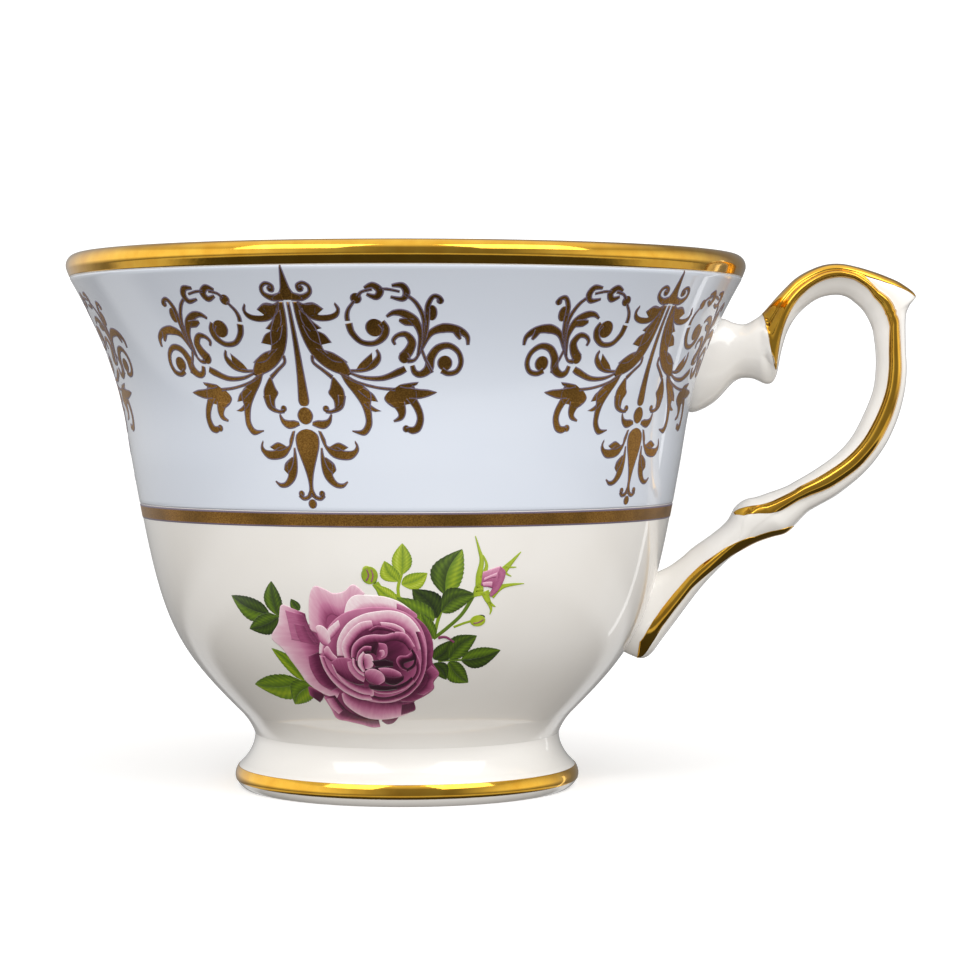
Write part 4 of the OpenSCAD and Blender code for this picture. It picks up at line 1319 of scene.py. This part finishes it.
        (((-9.8, 21.0), (-9.6, 19.0), (-8.8, 17.2), (-7.4, 15.8), (-5.4, 14.9), (-3.6, 14.8)),
         ((-9.2, 20.8), (-8.9, 19.2), (-8.1, 17.8), (-6.8, 16.6), (-5.2, 15.8), (-3.8, 15.6)),
         (0.95, 0.66, 0.3)),
        (((-9.0, 21.9), (-8.4, 22.3), (-7.9, 21.4), (-7.4, 20.8)),
         ((-9.1, 21.0), (-8.8, 20.6), (-8.3, 20.2), (-7.8, 20.2)), (0.85, 0.62, 0.3)),
        # left side of the heart
        (((-8.3, 20.2), (-7.4, 20.7), (-6.3, 20.8), (-5.4, 20.6)),
         ((-7.9, 18.6), (-6.8, 17.6), (-5.4, 17.0), (-4.4, 17.0)), (0.5, 0.34, 0.14)),
        (((-6.2, 20.2), (-6.1, 19.0), (-5.3, 17.9), (-4.4, 17.4)),
         ((-5.3, 20.4), (-5.0, 19.4), (-4.5, 18.6), (-4.0, 18.2)), (0.78, 0.6, 0.44)),
        # arches over the heart
        (((-5.6, 20.8), (-5.2, 22.4), (-4.0, 23.6), (-2.6, 24.0), (-1.0, 24.0), (0.4, 24.4), (1.6, 24.0),
         (2.6, 22.4)),
         ((-4.8, 20.8), (-4.4, 21.9), (-3.4, 22.6), (-2.4, 22.9), (-1.2, 22.9), (0.0, 23.2), (1.2, 22.8),
          (1.9, 21.8)),
         (0.82, 0.4, 0.16)),
        (((-5.0, 20.4), (-4.6, 21.6), (-3.7, 22.4), (-2.8, 22.4)),
         ((-4.3, 20.4), (-4.0, 21.1), (-3.5, 21.6), (-2.9, 21.6)), (0.7, 0.3, 0.1)),
        (((-3.0, 24.6), (-2.0, 25.2), (-0.8, 25.0), (0.2, 24.6)),
         ((-2.8, 24.2), (-2.0, 24.6), (-0.9, 24.5), (0.1, 24.2)), (0.5, 0.2, 0.1)),
        # right side of the heart
        (((2.4, 22.0), (1.6, 21.2), (0.6, 21.1), (0.2, 20.4), (0.7, 19.4), (1.6, 19.0)),
         ((2.7, 20.6), (2.2, 20.4), (1.6, 20.2), (1.2, 20.0), (1.3, 19.6), (1.8, 19.4)),
         (0.74, 0.3, 0.14)),
        (((2.3, 22.2), (2.9, 21.0), (2.7, 19.6), (1.6, 18.8)),
         ((2.1, 21.8), (2.5, 20.8), (2.3, 19.9), (1.5, 19.3)), (0.6, 0.22, 0.12)),
        # folded petals of the heart
        (((-1.9, 22.9), (-1.0, 22.7), (-0.8, 21.9), (-1.0, 21.0), (-1.9, 20.5)),
         ((-1.9, 22.4), (-2.1, 22.0), (-2.2, 21.6), (-2.3, 21.2), (-2.4, 20.9)), (0.66, 0.56, 0.36)),
        (((-1.8, 21.9), (-1.3, 21.9), (-1.2, 21.3), (-1.6, 20.9)),
         ((-1.9, 21.6), (-1.8, 21.4), (-1.8, 21.2), (-1.8, 21.0)), (0.9, 0.8, 0.6)),
        (((-4.0, 21.4), (-3.0, 21.2), (-2.7, 20.4), (-2.9, 19.6), (-3.6, 19.2)),
         ((-4.1, 20.8), (-4.0, 20.4), (-4.0, 20.0), (-4.0, 19.7), (-4.0, 19.4)), (0.95, 0.8, 0.6)),
        (((-3.9, 21.7), (-4.6, 20.9), (-4.8, 19.8), (-4.3, 18.8)),
         ((-3.7, 21.3), (-4.0, 20.7), (-4.1, 19.8), (-3.9, 19.0)), (0.98, 0.9, 0.7)),
        (((-5.4, 20.8), (-5.5, 19.8), (-5.0, 18.8), (-4.2, 18.2)),
         ((-5.1, 20.6), (-5.1, 19.8), (-4.7, 19.1), (-4.1, 18.7)), (0.95, 0.8, 0.6)),
        (((-4.0, 18.9), (-3.3, 19.3), (-2.4, 19.2), (-1.6, 18.6), (-1.4, 17.7), (-2.2, 17.1)),
         ((-4.1, 18.2), (-4.0, 17.8), (-3.7, 17.4), (-3.3, 17.2), (-2.9, 17.1), (-2.6, 17.05)),
         (0.84, 0.62, 0.42)),
        (((-2.2, 19.4), (-1.2, 19.5), (-0.2, 19.3), (0.7, 18.8), (0.9, 18.4)),
         ((-1.4, 18.3), (-1.0, 18.1), (-0.6, 18.1), (0.0, 18.1), (0.6, 18.2)), (0.86, 0.62, 0.4)),
        (((-1.4, 18.3), (-0.4, 18.2), (0.4, 18.2), (1.2, 18.4)),
         ((-1.4, 17.3), (-0.6, 17.0), (0.2, 17.1), (1.1, 17.7)), (0.3, 0.2, 0.1)),
        # dark heart
        (((-2.9, 20.4), (-2.2, 20.5), (-1.2, 20.6), (-0.2, 20.3)),
         ((-2.5, 19.6), (-1.9, 19.5), (-1.1, 19.6), (-0.2, 19.6)), (0.02, 0.0, 0.02)),
        (((-3.8, 17.0), (-2.6, 17.0), (-1.4, 16.9), (0.2, 16.9)),
         ((-3.6, 16.4), (-2.4, 16.2), (-1.2, 16.2), (0.2, 16.4)), (0.12, 0.02, 0.06)),
    )
    # red lines drawn over the buds and the twig: path, width, tone
    lines: tuple = (
        (((5.4, 23.5), (6.3, 23.6), (7.4, 22.9)), 0.38, 0.24),
         (((-3.0, 31.1), (-2.7, 31.8), (-2.9, 32.6)), 0.18, 0.3),
        (((-2.4, 31.0), (-2.2, 31.8), (-2.4, 32.6)), 0.16, 0.36),
         (((9.6, 25.4), (10.2, 25.5), (10.8, 25.9)), 0.16, 0.3),
    )
    # petals of the rosebud, drawn as the others
    bud_petals: tuple = (
        (((10.2, 32.2), (11.2, 32.5), (12.2, 32.8), (12.9, 32.2)),
         ((10.1, 30.4), (10.8, 30.2), (11.6, 30.0), (12.4, 30.2)), (0.7, 0.5, 0.56)),
        (((12.2, 32.9), (12.9, 32.2), (12.8, 31.0), (12.2, 29.6), (11.4, 28.8)),
         ((12.0, 32.0), (12.0, 31.4), (11.8, 30.6), (11.4, 29.8), (11.2, 29.2)), (0.44, 0.5, 0.6)),
        (((10.4, 31.4), (11.2, 31.8), (11.9, 32.1)), ((10.4, 30.9), (11.2, 31.3), (11.8, 31.4)),
         (0.86, 0.7, 0.5)),
        (((10.2, 30.8), (10.8, 30.9), (11.4, 30.9)), ((10.4, 30.2), (10.9, 30.2), (11.4, 30.1)),
         (0.8, 0.72, 0.6)),
    )

    def leaf(self, transfer: Transfer, spec: tuple, lift: float) -> list:
        """Two halves of a toothed leaf on either side of a bent midrib.

        Formula: half the width is a rounded hump, wider near the base, with small saw teeth; the
        tone gains a cosine of nine waves along the leaf, slanted outwards, as its side veins.
        """
        base, tip, width, bend, tone_left, tone_right = spec
        start, end = np.array(base), np.array(tip)
        axis = end - start
        side = np.array([-axis[1], axis[0]]) / np.linalg.norm(axis)
        t = np.linspace(0.0, 1.0, 64)[:, None]
        rib = start + axis * t + side * bend * np.sin(np.pi * t)
        hump = np.sin(np.pi * t**0.8) ** 0.85
        teeth = 1 + 0.07 * ((t * 11) % 1.0) * (t > 0.15)
        reach = side * (width / 2) * hump * teeth
        made = []
        for sign, tone in ((1.0, tone_left), (-1.0, tone_right)):
            edge = rib + sign * reach
            left, right = (edge, rib) if sign > 0 else (rib, edge)
            rib_tone, edge_tone = max(tone - 0.14, 0.05), max(tone - 0.16, 0.0)
            tones = (edge_tone, tone + 0.06, rib_tone) if sign > 0 else (rib_tone, tone + 0.06, edge_tone)
            dips = (-0.02, lift) if sign > 0 else (lift, -0.02)
            patch = blade(transfer, left, right, lift, tones, inset=0.07, inner=9, dips=dips)
            off_rib = 1 - patch.values["across"] if sign > 0 else patch.values["across"]
            vein = np.cos(2 * np.pi * (9 * patch.values["along"] - 2.4 * off_rib))
            patch.values["tone"] = patch.values["tone"] + self.vein * vein * np.sqrt(np.clip(off_rib, 0, 1))
            made.append(patch)
        return made

    def build(self, petal: bpy.types.Material, foliage: bpy.types.Material) -> None:
        """Builds the foliage and then the petals, each layer a hair above the one before."""
        transfer = Transfer(self.profile, -90.0, self.wrap_radius, 0.0)
        green = []
        for k, (path, width, tone) in enumerate(self.stems):
            green.append(stroke(transfer, list(path), [width, width], 0.012, (tone, tone, tone)))
        for k, spec in enumerate(self.leaves):
            green += self.leaf(transfer, spec, 0.014 + 0.0012 * k)
        for path, width in self.sepals:
            green.append(stroke(transfer, list(path), [width, width * 0.55, 0.1], 0.05, (0.7, 0.82, 0.76)))
        for x, y, rx, ry, tone in self.buds:
            green.append(ball(transfer, (x, y), (rx, ry), 0.05 + 0.01 * rx, (tone - 0.1, tone, tone - 0.04)))
        make_piece("rose_leaves", join(green), foliage, [])
        red = []
        for k, (outer, inner, tones) in enumerate(self.petals + self.bud_petals):
            count = 7 * len(outer)
            left, right = smooth_line(list(outer), count), smooth_line(list(inner), count)
            x, y = np.mean([*outer, *inner], axis=0)
            dark = sum(d * math.exp(-((x - a) ** 2 + (y - b) ** 2) / r**2) for a, b, r, d in self.hollows)
            tones = (tones[0] - 0.7 * dark, tones[1] - dark, tones[2] * self.shade - 0.5 * dark)
            red.append(blade(transfer, left, right, 0.046 + 0.0012 * k, tones, inset=0.16, inner=9))
        for path, width, tone in self.lines:
            red.append(stroke(transfer, list(path), [width, width * 0.6], 0.13, (tone, tone + 0.05, tone)))
        make_piece("rose_petals", join(red), petal, ["rose_transfer"])


# ---- studio --------------------------------------------------------------------------------------


@dataclass(frozen=True)
class Softbox:
    """A rectangular light aimed at the cup, placed by angles as seen from the cup."""

    name: str
    azimuth: float
    elevation: float
    distance: float
    size: tuple
    radiance: float
    colour: str = "#ffffff"
    aim: tuple = (0.0, 0.0, 40.0)

    def build(self) -> None:
        """Adds the light: its power is its radiance times its area times pi."""
        a, e = math.radians(self.azimuth), math.radians(self.elevation)
        way = Vector((math.cos(e) * math.cos(a), math.cos(e) * math.sin(a), math.sin(e)))
        data = bpy.data.lights.new(self.name, "AREA")
        data.shape = "RECTANGLE"
        data.size, data.size_y = self.size[0] * MM, self.size[1] * MM
        data.color = linear(self.colour)[:3]
        data.energy = self.radiance * math.pi * data.size * data.size_y
        lamp = bpy.data.objects.new(self.name, data)
        lamp.location = (Vector(self.aim) + way * self.distance) * MM
        lamp.rotation_euler = (-way).to_track_quat("-Z", "Y").to_euler()
        bpy.context.scene.collection.objects.link(lamp)


@dataclass
class Studio:
    """Pale sweep, soft lights and the camera."""

    turn: float = 3.0
    distance: float = 402.5
    eye: float = 54.9
    aim: tuple = (11.65, 41.7)
    focal_share: float = 2850.0 / 979.0
    sensor: float = 36.0
    key_way: tuple = (0.12, -0.82, 0.56)
    boxes: tuple = (
        Softbox("softbox_left", -130.0, 46.0, 900.0, (520.0, 520.0), 2.85),
        Softbox("softbox_right", -42.0, 46.0, 900.0, (560.0, 520.0), 3.15),
        Softbox("strip_right", 41.0, -10.0, 700.0, (36.0, 420.0), 1.3),
    )
    # sky seen in reflections: share of height from straight down to straight up, and brightness
    mirror_sky: tuple = (
        (0.0, 0.06), (0.25, 0.07), (0.285, 0.75), (0.335, 0.75), (0.36, 0.23), (0.8, 0.28), (0.92, 1.1),
         (1.0, 1.2),
    )
    # sky that lights the china: share of the way towards the key direction, and brightness
    light_sky: tuple = ((0.0, 0.1), (0.35, 0.24), (0.6, 0.66), (0.85, 1.08), (1.0, 1.15))
    # what the reflections gain towards the left and right walls: share of the way across, brightness
    wall_sky: tuple = (
        (0.0, 1.1), (0.08, 1.0), (0.2, 0.6), (0.34, 0.2), (0.48, 0.0), (0.78, 0.0), (0.9, 0.4), (1.0, 1.0),
    )
    # the part of the height over which the walls stand
    wall_height: tuple = ((0.0, 0.0), (0.37, 0.0), (0.49, 1.0), (0.75, 1.0), (0.85, 0.3), (1.0, 0.0))
    fill_tint: str = "#f2e6d8"

    def sweep(self) -> None:
        """Builds the floor with a back wall: a flat run, a quarter circle and an upright run."""
        turn = np.radians(np.linspace(-90, 0, 24))
        run = np.concatenate([
            np.array([[-1500.0, 0.0]]),
            np.stack([1100 + 400 * np.cos(turn), 400 + 400 * np.sin(turn)], axis=1),
            np.array([[1500.0, 1800.0]]),
        ])
        x = np.linspace(-2000.0, 2000.0, 12)[:, None]
        points = np.stack(np.broadcast_arrays(x, run[None, :, 0], run[None, :, 1]), axis=-1).reshape(-1, 3)
        mesh = bpy.data.meshes.new("studio_sweep")
        mesh.from_pydata((points * MM).tolist(), [], grid_faces(12, len(run))[:, ::-1].tolist())
        mesh.polygons.foreach_set("use_smooth", np.ones(len(mesh.polygons), bool))
        floor = bpy.data.objects.new("studio_sweep", mesh)
        bpy.context.scene.collection.objects.link(floor)
        material, _, shader = new_material("studio_paper_matt")
        shader.inputs["Base Color"].default_value = linear("#f4f4f4")
        shader.inputs["Roughness"].default_value = 0.9
        shader.inputs["Specular IOR Level"].default_value = 0.0
        shader.inputs["Emission Color"].default_value = (1.0, 1.0, 1.0, 1.0)
        shader.inputs["Emission Strength"].default_value = 0.3
        mesh.materials.append(material)
        floor.visible_glossy = False
        floor.visible_diffuse = False
        floor.visible_shadow = False

    def sky(self) -> None:
        """Adds the sky: white to the eye, one gradient for soft light and one for reflections."""
        world = bpy.data.worlds.new("studio_sky")
        world.use_nodes = True
        tree = world.node_tree
        place = add_node(tree, "ShaderNodeTexCoord", {}, {})
        way = Vector(self.key_way).normalized()
        facing = add_node(
            tree, "ShaderNodeVectorMath", {"operation": "DOT_PRODUCT", 1: way},
                {0: place.outputs["Generated"]}
        )
        split = add_node(tree, "ShaderNodeSeparateXYZ", {}, {0: place.outputs["Generated"]})
        ramps = []
        white = (1.0,) * 4
        for value, stops, tint in (
            (facing.outputs["Value"], self.light_sky, linear(self.fill_tint)),
            (split.outputs["Z"], self.mirror_sky, white),
            (split.outputs["X"], self.wall_sky, white),
            (split.outputs["Z"], self.wall_height, white),
        ):
            share = add_node(tree, "ShaderNodeMapRange", {"From Min": -1.0, "From Max": 1.0},
                {"Value": value})
            ramp = add_node(tree, "ShaderNodeValToRGB", {}, {"Fac": share.outputs["Result"]})
            elements = ramp.color_ramp.elements
            while len(elements) < len(stops):
                elements.new(0.5)
            for element, (at, level) in zip(elements, stops):
                dim = 1.0 - min(level, 1.0)
                element.position = at
                element.color = [level * (1 - dim * (1 - t)) for t in tint[:3]] + [1.0]
            ramps.append(ramp)
        walls = add_node(
            tree, "ShaderNodeVectorMath", {"operation": "MULTIPLY_ADD"},
            {0: ramps[2].outputs["Color"], 1: ramps[3].outputs["Color"], 2: ramps[1].outputs["Color"]},
        )
        ray = add_node(tree, "ShaderNodeLightPath", {}, {})
        lit = add_node(
            tree, "ShaderNodeMix", {"data_type": "RGBA"},
            {0: ray.outputs["Is Glossy Ray"], 6: ramps[0].outputs["Color"], 7: walls.outputs["Vector"]},
        )
        seen = add_node(
            tree, "ShaderNodeMix", {"data_type": "RGBA", 7: (1.0, 1.0, 1.0, 1.0)},
            {0: ray.outputs["Is Camera Ray"], 6: lit.outputs[2]},
        )
        tree.links.new(seen.outputs[2], tree.nodes["Background"].inputs["Color"])
        bpy.context.scene.world = world

    def camera(self) -> None:
        """Adds the camera, a little below the height of the lip, with a long lens."""
        turn = math.radians(self.turn)
        right = Vector((math.cos(turn), math.sin(turn), 0.0))
        eye = Vector((self.distance * math.sin(turn), -self.distance * math.cos(turn), self.eye))
        aim = right * self.aim[0] + Vector((0.0, 0.0, self.aim[1]))
        data = bpy.data.cameras.new("camera")
        data.sensor_width = self.sensor
        data.lens = self.focal_share * self.sensor
        data.clip_start = 0.01
        camera = bpy.data.objects.new("camera", data)
        camera.location = eye * MM
        camera.rotation_euler = (aim - eye).to_track_quat("-Z", "Y").to_euler()
        bpy.context.scene.collection.objects.link(camera)
        bpy.context.scene.camera = camera

    def build(self) -> None:
        """Builds the camera, the sweep, the sky and the lights."""
        self.camera()
        self.sweep()
        self.sky()
        for box in self.boxes:
            box.build()
        bpy.context.scene.view_settings.view_transform = "Standard"


def main() -> None:
    """Builds every piece in order."""
    logging.basicConfig(level=logging.INFO, format="%(name)s: %(message)s")
    Studio().build()
    profile = CupProfile()
    china = GlazedChina().build()
    blue = GlazedChina(name="blue_ground_enamel_glazed", colour="#dde3ed", tint="#d9e0ec",
        roughness=0.35).build()
    bright = BrightGold().build()
    printed = PrintedGold().build()
    turned = TurnedChina(profile)
    turned.bowl(china)
    turned.foot(china)
    turned.layers(blue, bright, printed)
    handle = ScrollHandle()
    handle.body(china)
    handle.gilding(bright)
    motif = ScrollMotif(profile)
    for index, (centre, lean) in enumerate(motif.places):
        motif.build(index + 1, centre, lean, printed)
    petal = PrintedEnamel("rose_enamel_printed", PETAL_STOPS, streak_depth=0.1).build()
    foliage = PrintedEnamel("leaf_enamel_printed", LEAF_STOPS, streaks=9.0, streak_depth=0.09).build()
    RoseSpray(profile).build(petal, foliage)


if __name__ == "__main__":
    main()
